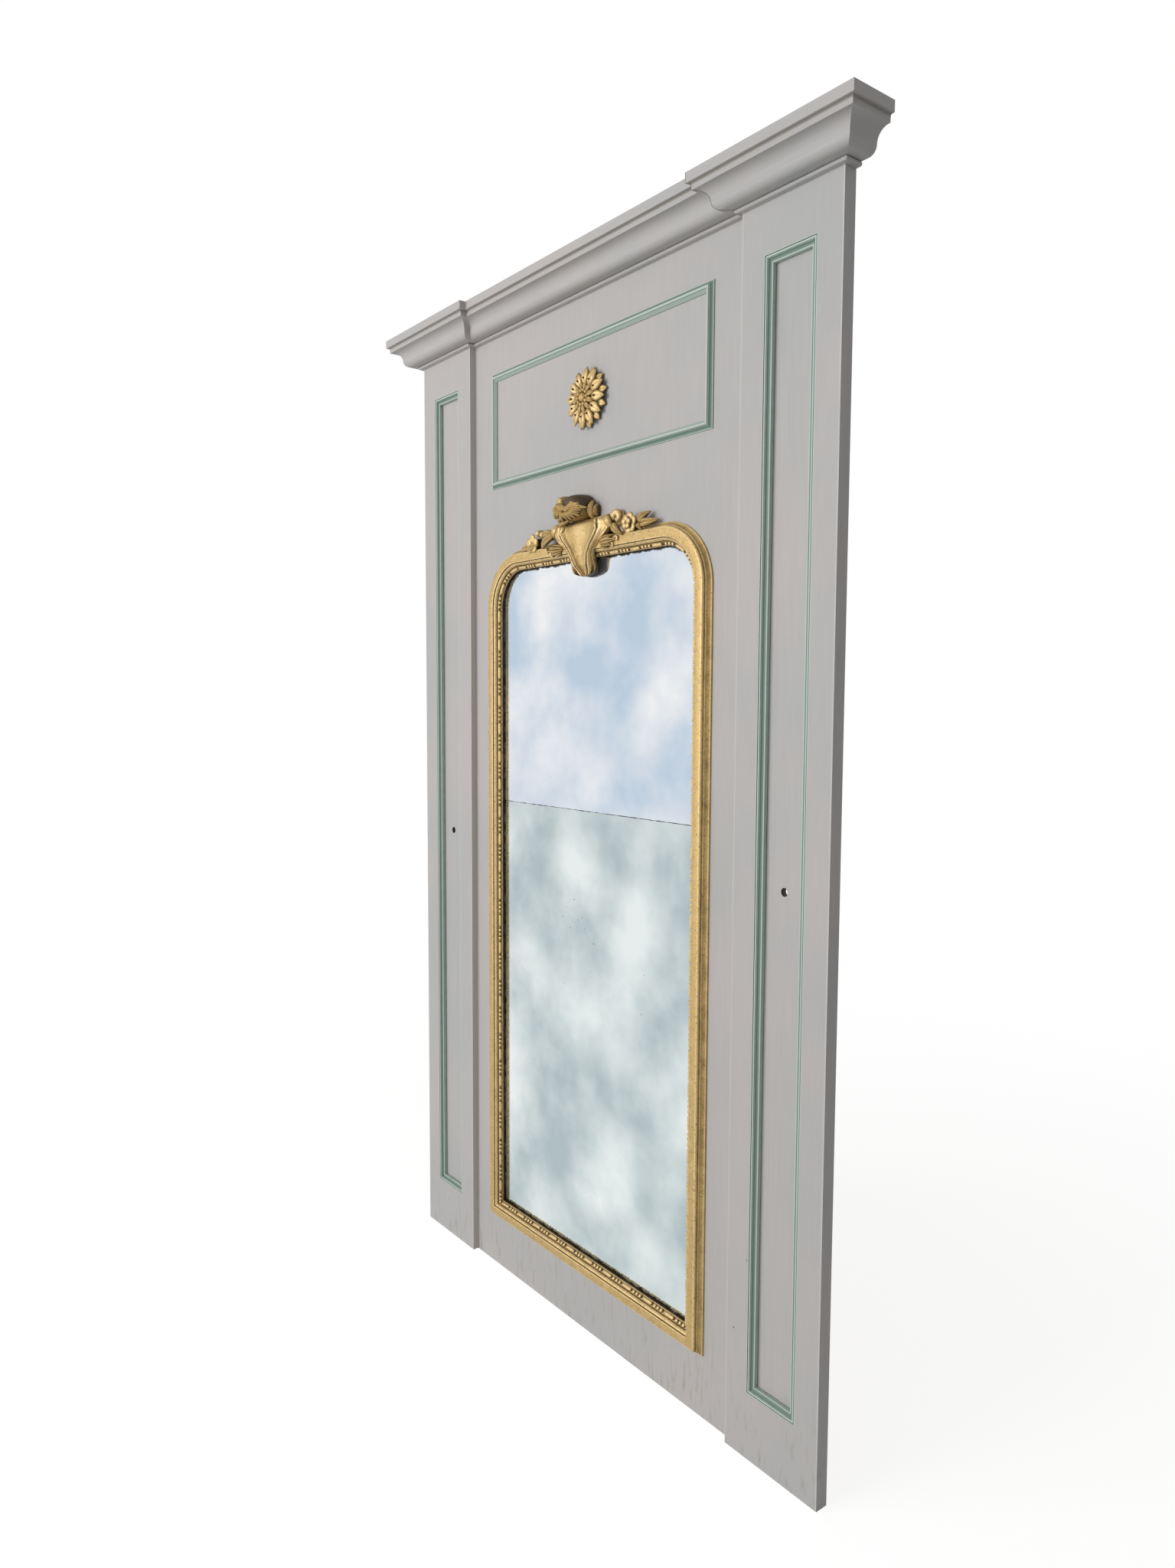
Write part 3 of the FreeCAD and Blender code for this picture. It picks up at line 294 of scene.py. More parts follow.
# %% bare pine and dull steel
pine_across, shader, place, _ = new_finish("bare_pine_along_x")
rings = ranged(noise(stretched(place, (0.05, 1.0, 1.0)), 100.0, 5.0, 0.6), 0.3, 0.7)
dress(shader, mixed(rings, "#CBA87C", "#8F6A43"), 0.7, bump=(rings, 0.3, 0.0003))
steel, shader, place, _ = new_finish("dull_rolled_steel")
blotch = ranged(noise(place, 120.0, 4.0), 0.4, 0.7)
dress(shader, mixed(blotch, "#9A9A96", "#6E675F"), ranged(blotch, first=0.35, last=0.6), metal=1.0)
print("back:", pine_across.name, steel.name)

# %% [markdown]
# Flat boards keep their solids and only take a finish.

# %% finishes on the solids that stay
plain = {board_paint: ("back_board", "right_pilaster", "left_pilaster"),
         pine_across: ("cornice_dust_board", "cornice_glue", "lower_batten", "middle_batten", "upper_batten"),
         steel: ("left_hanging", "right_hanging", "hanging_plate_screws", "batten_screws", "frame_screws")}
dressed = 0
for node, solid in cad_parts.items():
    for finish, starts in plain.items():
        if node.startswith(starts):
            solid.data.materials.clear()
            solid.data.materials.append(finish)
            dressed += 1
print("solids with a finish:", dressed)

# %% [markdown]
# A moulding is one profile carried along a run. The profile is drawn as the joiner would, in straight steps and
# arcs, then sampled every fraction of a millimetre and softened a little, as paint and wear soften wood. How sharply
# the softened line turns tells ridges from quirks.

# %% profiles and runs
FULL_RIDGE, ARC_POINTS, BEND_ROWS = 2.2, 15, 24
BULGE_SPREAD, BULGE_GAIN, HOLLOW_SPREAD, HOLLOW_GAIN = 0.55, 1.4, 0.7, 2.8


def traced(steps):
    """Points along a profile: (u, v) is a straight step; ((u, v), (u, v)) an arc through the first to the second,
    whose centre has the same distance from all three points and whose angles run evenly from end to end."""
    line = [np.array([complex(*steps[0])])]
    for step in steps[1:]:
        here = line[-1][-1]
        if not isinstance(step[0], tuple):
            line.append(np.array([complex(*step)]))
            continue
        middle, end = complex(*step[0]), complex(*step[1])
        w = (end - here) / (middle - here)
        centre = (middle - here) * (w - abs(w) ** 2) / (2j * w.imag) + here
        turn = np.angle((end - centre) / (here - centre))
        through = np.angle((middle - centre) / (here - centre))
        if turn * through < 0 or abs(through) > abs(turn):
            turn -= np.sign(turn) * 2 * np.pi
        line.append(centre + (here - centre) * np.exp(1j * np.linspace(0, turn, ARC_POINTS)[1:]))
    whole = np.concatenate(line)
    return np.stack([whole.real, whole.imag], 1)


def bell_curve(apart, radius):
    """Weights that fall with the distance as exp(-distance^2 / (2 radius^2)) and add up to 1."""
    bell = np.exp(-0.5 * (apart / radius) ** 2)
    return bell / bell.sum()


def softened(points, spacing, radius):
    """The line sampled at even spacing and blurred by a bell curve of that radius, with its two ends kept, and the
    ridge value of each sample: its turn per length, positive where the line bulges out. Bulges spread over about
    half a millimetre and hollows a little further; hollows win over bulges, and the two ends, where the profile meets
    the board, count as hollows, for a painted contact shade there."""
    steps = np.linalg.norm(np.diff(points, axis=0), axis=1)
    far = np.concatenate([[0], np.cumsum(steps)])
    at = np.linspace(0, far[-1], max(int(far[-1] / spacing), 8))
    even = np.stack([np.interp(at, far, points[:, k]) for k in (0, 1)], 1)
    reach = max(int(3 * radius / spacing), 1)
    bell = bell_curve(np.arange(-reach, reach + 1) * spacing, radius)

    def blur(values):
        ends = 2 * values[[0, -1]]
        padded = np.concatenate([ends[0] - values[reach:0:-1], values, ends[1] - values[-2:-reach - 2:-1]])
        return np.convolve(padded, bell, "valid")

    soft = np.stack([blur(even[:, k]) for k in (0, 1)], 1)
    slope = np.gradient(soft, axis=0)
    heading = np.unwrap(np.arctan2(slope[:, 1], slope[:, 0]))
    turn = np.clip(-blur(np.gradient(heading)) / spacing * FULL_RIDGE, -1, 1)
    apart = np.arange(-12, 13) * spacing
    bulge = np.convolve(np.clip(turn, 0, 1), bell_curve(apart, BULGE_SPREAD), "same")
    hollow = np.convolve(np.clip(-turn, 0, 1), bell_curve(apart, HOLLOW_SPREAD), "same")
    ends = np.exp(-np.minimum(at, far[-1] - at) ** 2)
    return soft, np.clip(BULGE_GAIN * bulge - HOLLOW_GAIN * hollow - ends, -1, 1)


def straight_run(profile, corner, outward, rise, length, start=0, end=0, rows=40):
    """A profile along a straight run: point = corner + u * outward + v * rise + way * along, where way goes evenly
    from start * u to length + end * u. A slope of 1 or -1 mitres that end."""
    along = np.cross(outward, rise)
    u, v = profile[:, 0], profile[:, 1]
    share = np.linspace(0, 1, rows)[:, None]
    way = start * u + share * (length + (end - start) * u)
    return np.array(corner) + u[None, :, None] * outward + v[None, :, None] * rise + way[..., None] * along


def quarter_bend(profile, centre, radius, first, second, rise):
    """A profile round a quarter turn: its point u lies at radius - u from the centre, on the way from the first
    direction to the second, and v above the plane."""
    angle = np.linspace(0, np.pi / 2, BEND_ROWS)[:, None, None]
    spoke = np.cos(angle) * first + np.sin(angle) * second
    return np.array(centre) + spoke * (radius - profile[None, :, :1]) + profile[None, :, 1:] * rise


def ring(face, hidden):
    """A closed profile: the softened face, then a few hidden points behind it that get ridge 0."""
    soft, ridge = face
    return np.concatenate([soft, hidden]), np.concatenate([ridge, np.zeros(len(hidden))])


print("arc test:", np.round(traced([(0, 0), ((1, 1), (2, 0))])[7], 3))

# %% [markdown]
# The crown cornice: a small bead, a swelling belly that turns into a cove, a narrow fascia and a tall one above it.
# It breaks forward over each pilaster and returns to the wall at both ends, in seven mitred lengths.

# %% crown cornice
FRONT_WIDTH, BREAK_DEPTH, END_DEPTH = HALF_PANEL - PILASTER_INNER, FIELD - PILASTER_FACE, BOARD_BACK - PILASTER_FACE
# Heights over the panel's top: the back of a length with a glue block, and the dust board's under side.
LOW_BACK, DUST_BOARD = 14, 53


def cornice_profile(back):
    """Cornice face from the panel outwards and up, closed behind by the rebate of the dust board. Its hidden
    side meets the panel at the height of back."""
    d = np.sqrt(0.5)
    face = traced([(0, 0), (6.5, 0), ((9.5, 3), (6.5, 6)), (20, 6), ((20 + 12 * d, 18 - 12 * d), (32, 18)),
                   ((50 - 18 * d, 18 + 18 * d), (50, 36)), (52, 36), (52, 43.5),
                   ((54.5 - 2.5 * d, 43.5 + 2.5 * d), (54.5, 46)), (58, 46), (58, 61)])
    soft, ridge = softened(face, 0.6, 0.5)
    return ring((soft, -ridge), [(44, 61), (44, DUST_BOARD), (0, back)])


runs = {"right_end_return": (DUST_BOARD, HALF_PANEL, BOARD_BACK, RIGHT, END_DEPTH, 0, 1),
        "right_front": (LOW_BACK, HALF_PANEL, PILASTER_FACE, FRONT, FRONT_WIDTH, -1, 1),
        "right_inner_return": (LOW_BACK, PILASTER_INNER, PILASTER_FACE, -RIGHT, BREAK_DEPTH, -1, -1),
        "centre": (LOW_BACK, PILASTER_INNER, FIELD, FRONT, 2 * PILASTER_INNER, 1, -1),
        "left_inner_return": (LOW_BACK, -PILASTER_INNER, FIELD, RIGHT, BREAK_DEPTH, 1, 1),
        "left_front": (LOW_BACK, -PILASTER_INNER, PILASTER_FACE, FRONT, FRONT_WIDTH, -1, 1),
        "left_end_return": (DUST_BOARD, -HALF_PANEL, PILASTER_FACE, -RIGHT, END_DEPTH, -1, 0)}
for place, (back, x, y, outward, length, start, end) in runs.items():
    profile, ridge = cornice_profile(back)
    points = straight_run(profile, (x, y, PANEL_HEIGHT), outward, UP, length, start, end, rows=12)
    node = "cornice_" + place
    add_piece("cornice_length_" + place, [(points, True, ridge)], [node], cornice_paint)

# %% [markdown]
# Green mouldings: one profile sinks from the pilaster's face to its field, the other stands on the field as a frame
# round the rosette. Both go round a rectangle in four mitred lengths.

# %% green mouldings
def round_rectangle(profile, left_x, right_x, bottom, top):
    """Four mitred lengths round a rectangle on the field: bottom, right, top, left."""
    sides = ((left_x, bottom, UP, right_x - left_x), (right_x, bottom, -RIGHT, top - bottom),
             (right_x, top, -UP, right_x - left_x), (left_x, top, RIGHT, top - bottom))
    return [straight_run(profile, (x, FIELD, z), inward, FRONT, length, 1, -1) for x, z, inward, length in sides]


def add_green(prefix, places, lengths, ridge):
    """Four green pieces, each in the place of its node."""
    for place, points in zip(places, lengths):
        node = prefix + place
        add_piece("green_" + node, [(points, True, ridge)], [node], sage_green)


sunk_profile, sunk_ridge = softened(
    traced([(0, 0), (0, 12), (1.6, 12), (1.6, 10.4), (2.4, 10.4), ((4, 12), (5.6, 10.4)), (6.4, 10.4),
            ((7.7, 8), (10.8, 7.4)), (12.8, 7.4), (12.8, 0)]), 0.25, 0.22)
raised_profile, raised_ridge = softened(
    traced([(0, 0), (0, 2.2), ((3.7, 3.35), (5.6, 6.3)), (6.4, 6.3), ((8.6, 8.5), (10.8, 6.3)), (11.6, 6.3),
            (15, 2.2), (15, 0)]), 0.25, 0.22)
for side, edges, places in (("right", (SUNK_INNER, SUNK_OUTER), ("bottom", "outer", "top", "inner")),
                            ("left", (-SUNK_OUTER, -SUNK_INNER), ("bottom", "inner", "top", "outer"))):
    sunk = round_rectangle(sunk_profile, *edges, SUNK_BOTTOM, SUNK_TOP)
    add_green(side + "_field_moulding_", places, sunk, sunk_ridge)
raised = round_rectangle(raised_profile, -UPPER_HALF, UPPER_HALF, UPPER_BOTTOM, UPPER_TOP)
add_green("upper_moulding_", ("bottom", "right", "top", "left"), raised, raised_ridge)

# %% [markdown]
# The mirror's frame: a coved side, a crowned face, a hollow, a round band, a slope for the pearls and a lip that holds
# the glass. Its two upper corners are quarter turns of the same profile. The side's ridge values are raised, a painted
# light on the side that faces away from the lamp, and the lip's are lowered, so that the lip is dark.

# %% gilt frame
gilt_face, gilt_turn = softened(
    traced([(0, 0), (0, 3), ((3.9, 5.6), (6, 10)), (7.4, 10), (7.4, 13.2), ((8.3, 15.3), (10.4, 16.2)),
            ((17.5, 16.8), (24.6, 16.2)), (24.6, 14.2), (25.8, 14.2), ((28.7, 12.3), (30, 8.8)), (30, 8.1),
            (30.7, 8.1), (36.1, 2.7), (FRAME_FACE, 2.7), (FRAME_FACE, -LIP_DEPTH)]), 0.4, 0.32)
is_side = (gilt_face[:, 0] < 8.2) & (gilt_face[:, 1] < 14)
is_lip = (gilt_face[:, 0] > 36.2) & (gilt_face[:, 1] < 2.0)
# Painted light: the side, which faces away from the lamp, is made lighter; the lip is made dark.
gilt_turn = np.where(is_side, 0.45 * gilt_turn + 0.15, gilt_turn) - 0.75 * is_lip
gilt_profile, gilt_ridge = ring((gilt_face, gilt_turn), [(LIP_START, -LIP_DEPTH), (LIP_START, 0)])
STILE = CORNER_Z - MIRROR_BOTTOM
straight = {"foot_rail": (-MIRROR_HALF, MIRROR_BOTTOM, UP, 2 * MIRROR_HALF, 1, -1),
            "right_stile": (MIRROR_HALF, MIRROR_BOTTOM, -RIGHT, STILE, 1, 0),
            "left_stile": (-MIRROR_HALF, CORNER_Z, RIGHT, STILE, 0, -1),
            "head_rail": (CORNER_X, MIRROR_TOP, -UP, 2 * CORNER_X, 0, 0)}
bends = {"right_corner": (CORNER_X, RIGHT, UP), "left_corner": (-CORNER_X, UP, -RIGHT)}
lengths = {place: straight_run(gilt_profile, (x, FIELD, z), inward, FRONT, length, start, end)
           for place, (x, z, inward, length, start, end) in straight.items()}
lengths |= {place: quarter_bend(gilt_profile, (x, FIELD, CORNER_Z), CORNER_RADIUS, first, second, FRONT)
            for place, (x, first, second) in bends.items()}
for place, points in lengths.items():
    add_piece("gilt_" + place, [(points, True, gilt_ridge)], ["mirror_" + place], bright_leaf)

# %% [markdown]
# Pearls and batons: three beads and a long baton, over and over along the sight edge. One half-round strip whose
# radius swells and shrinks along its length gives them all.

# %% pearls and batons
PERIOD, BEAD_PITCH, BEADS_END, BATON_MIDDLE, BATON_HALF = 54.0, 8.2, 24.6, 39.3, 13.6
BEAD_RADIUS, BATON_RADIUS, PEARL_STEP = 3.5, 3.3, 0.75
PEARL_LINE, PEARL_BED = 33.4, FIELD - 5.4
inner_half, turn_radius, low_line = MIRROR_HALF - PEARL_LINE, CORNER_RADIUS - PEARL_LINE, MIRROR_BOTTOM + PEARL_LINE


def pearl_radius(way):
    """Radius along the strip: in each period, three beads shaped as half circles, then a baton with round ends."""
    here = np.mod(way, PERIOD)
    bead = (np.mod(here, BEAD_PITCH) - BEAD_PITCH / 2) / (BEAD_PITCH / 2)
    baton = (here - BATON_MIDDLE) / BATON_HALF
    beads = BEAD_RADIUS * np.sqrt(np.clip(1 - bead ** 2, 0.09, 1))
    batons = BATON_RADIUS * np.clip(1 - np.abs(baton) ** 5, 0.1, 1) ** 0.5
    return np.where(here < BEADS_END, beads, batons)


def pearl_strip(length, place, first):
    """A strip along a path: place turns ways into base points and inward directions. The section is a half circle
    on a slope of 45 degrees that faces the glass; first is where the pattern starts."""
    way = np.linspace(0, length, int(length / PEARL_STEP))
    base, inward = place(way)
    radius = pearl_radius(way + first)[:, None, None]
    angle = np.linspace(0, np.pi, 9)[None, :, None]
    inward = inward[:, None]
    round_it = np.cos(angle) * (inward - FRONT) + np.sin(angle) * (inward + FRONT)
    points = base[:, None] + radius * np.sqrt(0.5) * round_it
    # Painted highlight and shade: bright on the tops of the beads and batons, dark at their bases and in the gaps
    # between them.
    ridge = np.clip(np.clip((radius[..., 0] - 2.6) / 0.7, -1, 1) - 1.3 * (1 - np.sin(angle[..., 0])), -1, 1)
    return points, True, ridge


def along_rail(start, height, inward):
    """A level path to the right from a start."""
    def place(way):
        base = np.stack([way + start, np.full_like(way, PEARL_BED), np.full_like(way, height)], 1)
        return base, np.broadcast_to(inward, base.shape)
    return place


def up_side(side):
    """A path up a stile and round its corner: side is 1 on the right and -1 on the left."""
    def place(way):
        rise = np.minimum(way, STILE - PEARL_LINE)
        turn = np.clip((way - (STILE - PEARL_LINE)) / turn_radius, 0, np.pi / 2)
        spoke = np.stack([side * np.cos(turn), 0 * turn, np.sin(turn)], 1)
        centre = np.stack([np.full_like(way, side * CORNER_X), np.full_like(way, PEARL_BED), low_line + rise], 1)
        return centre + spoke * turn_radius, -spoke
    return place


side_length = STILE - PEARL_LINE + turn_radius * np.pi / 2
strips = {"bottom": pearl_strip(2 * inner_half, along_rail(-inner_half, low_line, UP), first=20),
          "top": pearl_strip(2 * CORNER_X, along_rail(-CORNER_X, MIRROR_TOP - PEARL_LINE, -UP), first=30),
          "left": pearl_strip(side_length, up_side(-1), first=5),
          "right": pearl_strip(side_length, up_side(1), first=25)}
for place, strip in strips.items():
    add_piece("pearls_" + place, [strip], ["pearl_strip_" + place], bright_leaf, sharp=50)

# %% [markdown]
# Leaves and petals are closed lens shapes. Along the leaf the width grows from the root and narrows to the tip;
# round it, the upper side is full with a crease along the middle and the under side is nearly flat. One call
# makes a whole stack of leaves, each with its own root, tip and width.

# %% leaves and beads
LEAF_ROWS, LEAF_COLS = 13, 16


def listed(points):
    """Points as rows; a single point makes one row."""
    return np.atleast_2d(np.asarray(points, float))


def each(value, count):
    """A value for each of a stack, ready to meet its rows and columns."""
    return np.broadcast_to(np.asarray(value, float), count)[:, None, None]


def full_turn(count):
    """Angles spread evenly over a full turn, one for each column."""
    return np.linspace(0, 2 * np.pi, count, endpoint=False)[None, None]


def leaves(root, tip, width, thick, bow=0.0, crease=0.35, fullest=0.75, point=0.8):
    """Stack of leaves between roots and tips, given as x, height and rise. At share s along and angle a round:
    place = root + s * (tip - root) + bow * sin(pi s) forward + half(s) * cos a across + lift(s, a) forward. The half
    width is the swelling sin(pi s^fullest) to the power point, so a larger point gives a sharper tip."""
    root, tip = listed(root), listed(tip)
    width, thick, bow = [each(value, len(root)) for value in (width, thick, bow)]
    s = np.linspace(0, 1, LEAF_ROWS)[None, :, None]
    a = full_turn(LEAF_COLS)
    axis = tip - root
    across = np.stack([-axis[:, 1], axis[:, 0]], 1)
    across = across / np.linalg.norm(across, axis=1, keepdims=True)
    swell = np.clip(np.sin(np.pi * s ** fullest), 0, 1)
    half = width / 2 * swell ** point
    up = np.sin(a)
    groove = crease * np.exp(-(np.cos(a) / 0.22) ** 2)
    lift = swell ** 0.6 * thick * np.where(up > 0, up ** 0.8 * (1 - groove), 0.35 * up)
    centre = root[:, None, None] + s[..., None] * axis[:, None, None]
    flat = centre[..., :2] + (half * np.cos(a))[..., None] * across[:, None, None]
    rise = centre[..., 2] + bow * np.sin(np.pi * s) + lift
    # Painted highlight and shade: bright along the upper side, dark at the edges, on the under side and in the crease.
    ridge = np.clip(np.where(up > 0, 1.5 * up - 2.6 * groove * (up > 0.9), 0) - 0.9 + 0 * rise, -1, 1)
    return np.concatenate([np.broadcast_to(flat, rise.shape + (2,)), rise[..., None]], -1), False, ridge


def beads(centre, radius, height, ribs=0, depth=0.0, rows=9, cols=20, full=1.0):
    """Stack of domes at x, height and rise. At angle t up and a round, the ring's radius is radius * cos(t) to the
    power full, so a small full gives a barrel with a round top, and it has climbed height * sin t. Radius is one
    number, or two for across and up. Ribs is the number of grooves round the dome, each depth deep."""
    centre = listed(centre)
    radius = np.asarray(radius, float)
    radius = np.broadcast_to(radius if radius.ndim == 2 else radius[..., None], (len(centre), 2))[:, :, None, None]
    height = each(height, len(centre))
    t = np.linspace(0, np.pi / 2, rows)[None, :, None]
    a = full_turn(cols)
    wave = 1 - depth * (0.5 + 0.5 * np.cos(ribs * a)) if ribs else np.ones_like(a)
    ring_size = np.clip(np.cos(t), 0, 1) ** full * wave
    x = centre[:, 0, None, None] + radius[:, 0] * ring_size * np.cos(a)
    z = centre[:, 1, None, None] + radius[:, 1] * ring_size * np.sin(a)
    rise = centre[:, 2, None, None] + height * np.sin(t) + 0 * a
    # Painted highlight and shade: bright on top, dark round the base and in the grooves between the ribs.
    ridge = np.sin(t) - 0.45 + 2.5 * (wave - 1) + 0 * rise
    return np.stack([x, z, rise], -1), True, np.clip(ridge, -1, 1)


def spokes(angle):
    """Directions at angles round a flower's middle, with no rise."""
    return np.stack([np.cos(angle), np.sin(angle), 0 * angle], 1)


def toned(part, gain, shift):
    """The same part with its ridge value times gain plus shift: a low value is darker, a high value brighter."""
    points, caps, ridge = part
    return points, caps, gain * ridge + shift


def add_carving(name, parts, node, foot, sharp=60):
    """One gilt piece of parts in x, height over a foot line and rise over the field, turned into x, y and z."""
    grids = [(np.stack([points[..., 0], FIELD - points[..., 2], points[..., 1] + foot], -1), *rest)
             for points, *rest in parts]
    add_piece(name, grids, [node], bright_leaf, sharp)


print("leaf grid:", leaves((0, 0, 0), (10, 0, 0), 4, 1)[0].shape)

# %% [markdown]
# The rosette: a ring of twelve pointed petals with the tips of another ring between them, a smaller ring inside, and
# a button ringed by little beads. A small knob painted dark stands for the punch mark near each petal's root: painted
# shade in the hole. It was cast, so all of it sits on a thin disc, painted dark as painted shade between the petals.

# %% rosette
PETALS = 12


def turned(count, turn):
    """Directions spread evenly: number k points at (k + turn) / count of a full turn."""
    return spokes((np.arange(count) + turn) / count * 2 * np.pi)


def petal_ring(inner, outer, width, thick, base, bow, turn):
    """Petals from an inner to an outer distance, which sink by 2 mm on their way."""
    way = turned(PETALS, turn)
    root, tip = way * inner + [0, 0, base], way * outer + [0, 0, base - 2]
    return leaves(root, tip, width, thick, bow, crease=0.4, fullest=1.15, point=1.15)


def ring_of_beads(count, far, rise, radius, height, turn=0.0):
    """Small beads spread evenly on a circle."""
    return beads(far * turned(count, turn) + [0, 0, rise], radius, height, rows=5, cols=12)


under = petal_ring(inner=20, outer=53, width=18, thick=4.5, base=5.0, bow=2.0, turn=0.3)
over = petal_ring(inner=16, outer=52, width=18, thick=5.0, base=10.0, bow=3.0, turn=-0.2)
small = petal_ring(inner=10, outer=29, width=9, thick=4.5, base=14.0, bow=2.0, turn=0.3)
disc = beads((0, 0, 0), 33, 11.0, rows=6, cols=32, full=0.4)
pricks = ring_of_beads(PETALS, far=32, rise=15.0, radius=1.7, height=4.2, turn=-0.2)
# The disc and the knobs are painted dark: painted shade between the petals and in the punch marks.
flower = [toned(under, 1.0, 0.15), toned(over, 1.0, 0.35), toned(small, 1.0, 0.2), toned(disc, 0.0, -0.9),
          toned(pricks, 0.0, -1.0)]
add_carving("rosette_petals", flower, "rosette", ROSETTE_HEIGHT, sharp=55)
knob = toned(beads((0, 0, 12), 8.5, 9.0, full=0.7), 0.5, -0.3)
pearls = ring_of_beads(10, far=12.0, rise=14.0, radius=3.5, height=5.5)
add_carving("rosette_centre", [knob, pearls], "rosette_button", ROSETTE_HEIGHT, sharp=55)

# %% [markdown]
# Two old plates fill the frame, the lower one taller, and meet in a fine dark seam. The silvering has a slight mottled
# haze, bluish above and greenish below, which is also a painted reflection of a clouded sky, brown specks, and a
# ragged dark edge along the frame. Each plate is a grid whose rows narrow where the frame's corners round off.

# %% mirror plates
PLATE_INSET, SEAM_GAP, SEAM_SHADE = LIP_START + 0.6, 0.15, 0.9


def old_silver(name, clear, haze_and_painted_cloud, speck_share):
    """Silvered glass: a metal under glass, nearly smooth; haze of about 200 mm that is also a painted reflection of
    clouds, specks of about 2 mm, ragged edge.
    """
    material, shader, place, edge = new_finish(name)
    # Painted reflection: the haze mottles the tint like clouds reflected in the glass.
    share = ranged(noise(place, 5.0, 4.0), 0.36, 0.66)
    grains, crowd, ragged = [noise(place, *size) for size in ((170.0, 3.0), (9.0, 2.0), (70.0, 5.0))]
    specks = maths("MULTIPLY_ADD", crowd, 0.35, grains)
    specks = ranged(specks, 1.0 - speck_share, 1.06 - speck_share)
    rim = ranged(maths("MULTIPLY_ADD", ragged, -14.0, edge), -3.0, -5.0)
    lost = maths("MAXIMUM", specks, rim)
    tone = mixed(lost, mixed(share, clear, haze_and_painted_cloud), "#3A342C")
    rough = ranged(share, first=0.03, last=0.09)
    dress(shader, tone, rough, ranged(lost, first=0.82, last=0.2))
    return material


def plate(bottom, top, rows):
    """A plate between two heights: at each height its half width is the frame's, drawn in by the rounded corners;
    columns run across the front and back again behind. Ridge is the distance to the sight edge in millimetres, or
    six times that to the seam where this is less."""
    radius = CORNER_RADIUS - PLATE_INSET
    seam = [SEAM_HEIGHT - SEAM_SHADE, SEAM_HEIGHT + SEAM_SHADE]
    z = np.sort(np.append(np.linspace(bottom, top, rows), seam))
    z = z[(z >= bottom) & (z <= top)][:, None]
    above = np.clip(z - CORNER_Z, 0, radius)
    half = CORNER_X + np.sqrt(radius ** 2 - above ** 2)
    x = half * np.linspace(-1, 1, 61)[None]
    front = np.stack([x, np.full_like(x, FIELD + GLASS_DEPTH), z + 0 * x], -1)
    back = front[:, ::-1] - FRONT * GLASS_THICKNESS
    dx, dz = np.abs(x) - CORNER_X, z - CORNER_Z
    corner = CORNER_RADIUS - FRAME_FACE - np.hypot(np.maximum(dx, 0), np.maximum(dz, 0))
    sides = np.minimum(MIRROR_HALF - FRAME_FACE - np.abs(x), MIRROR_TOP - FRAME_FACE - z)
    inside = np.where((dx > 0) & (dz > 0), corner, sides)
    edge = np.minimum(inside, z - MIRROR_BOTTOM - FRAME_FACE)
    edge = np.minimum(edge, 6 * np.abs(z - SEAM_HEIGHT))
    return np.concatenate([front, back], 1), True, np.concatenate([edge, edge[:, ::-1]], 1)


upper = plate(SEAM_HEIGHT + SEAM_GAP, MIRROR_TOP - PLATE_INSET, 90)
lower = plate(MIRROR_BOTTOM + PLATE_INSET, SEAM_HEIGHT - SEAM_GAP, 160)
for place, glass, tones in (("upper", upper, ("#C4D6E9", "#FFFFFF", 0.02)),
                            ("lower", lower, ("#B4C4C8", "#F2FAF9", 0.05))):
    silver = old_silver("old_silvered_glass_" + place, *tones)
    add_piece("plate_" + place, [glass], ["mirror_plate_" + place], silver, sharp=30)

# %% [markdown]
# The cartouche hangs over the head rail like a cloth: broad at the top, drawn in to a narrow tip over the glass. A
# sunk field, shaped like a V, lies between two rims; outside them a hollow runs down to a thin outer edge.

# %% cartouche
CLOTH_TOP, CLOTH_TIP = 32, -63
CURL_ROWS, CURL_COLS = 28, 10


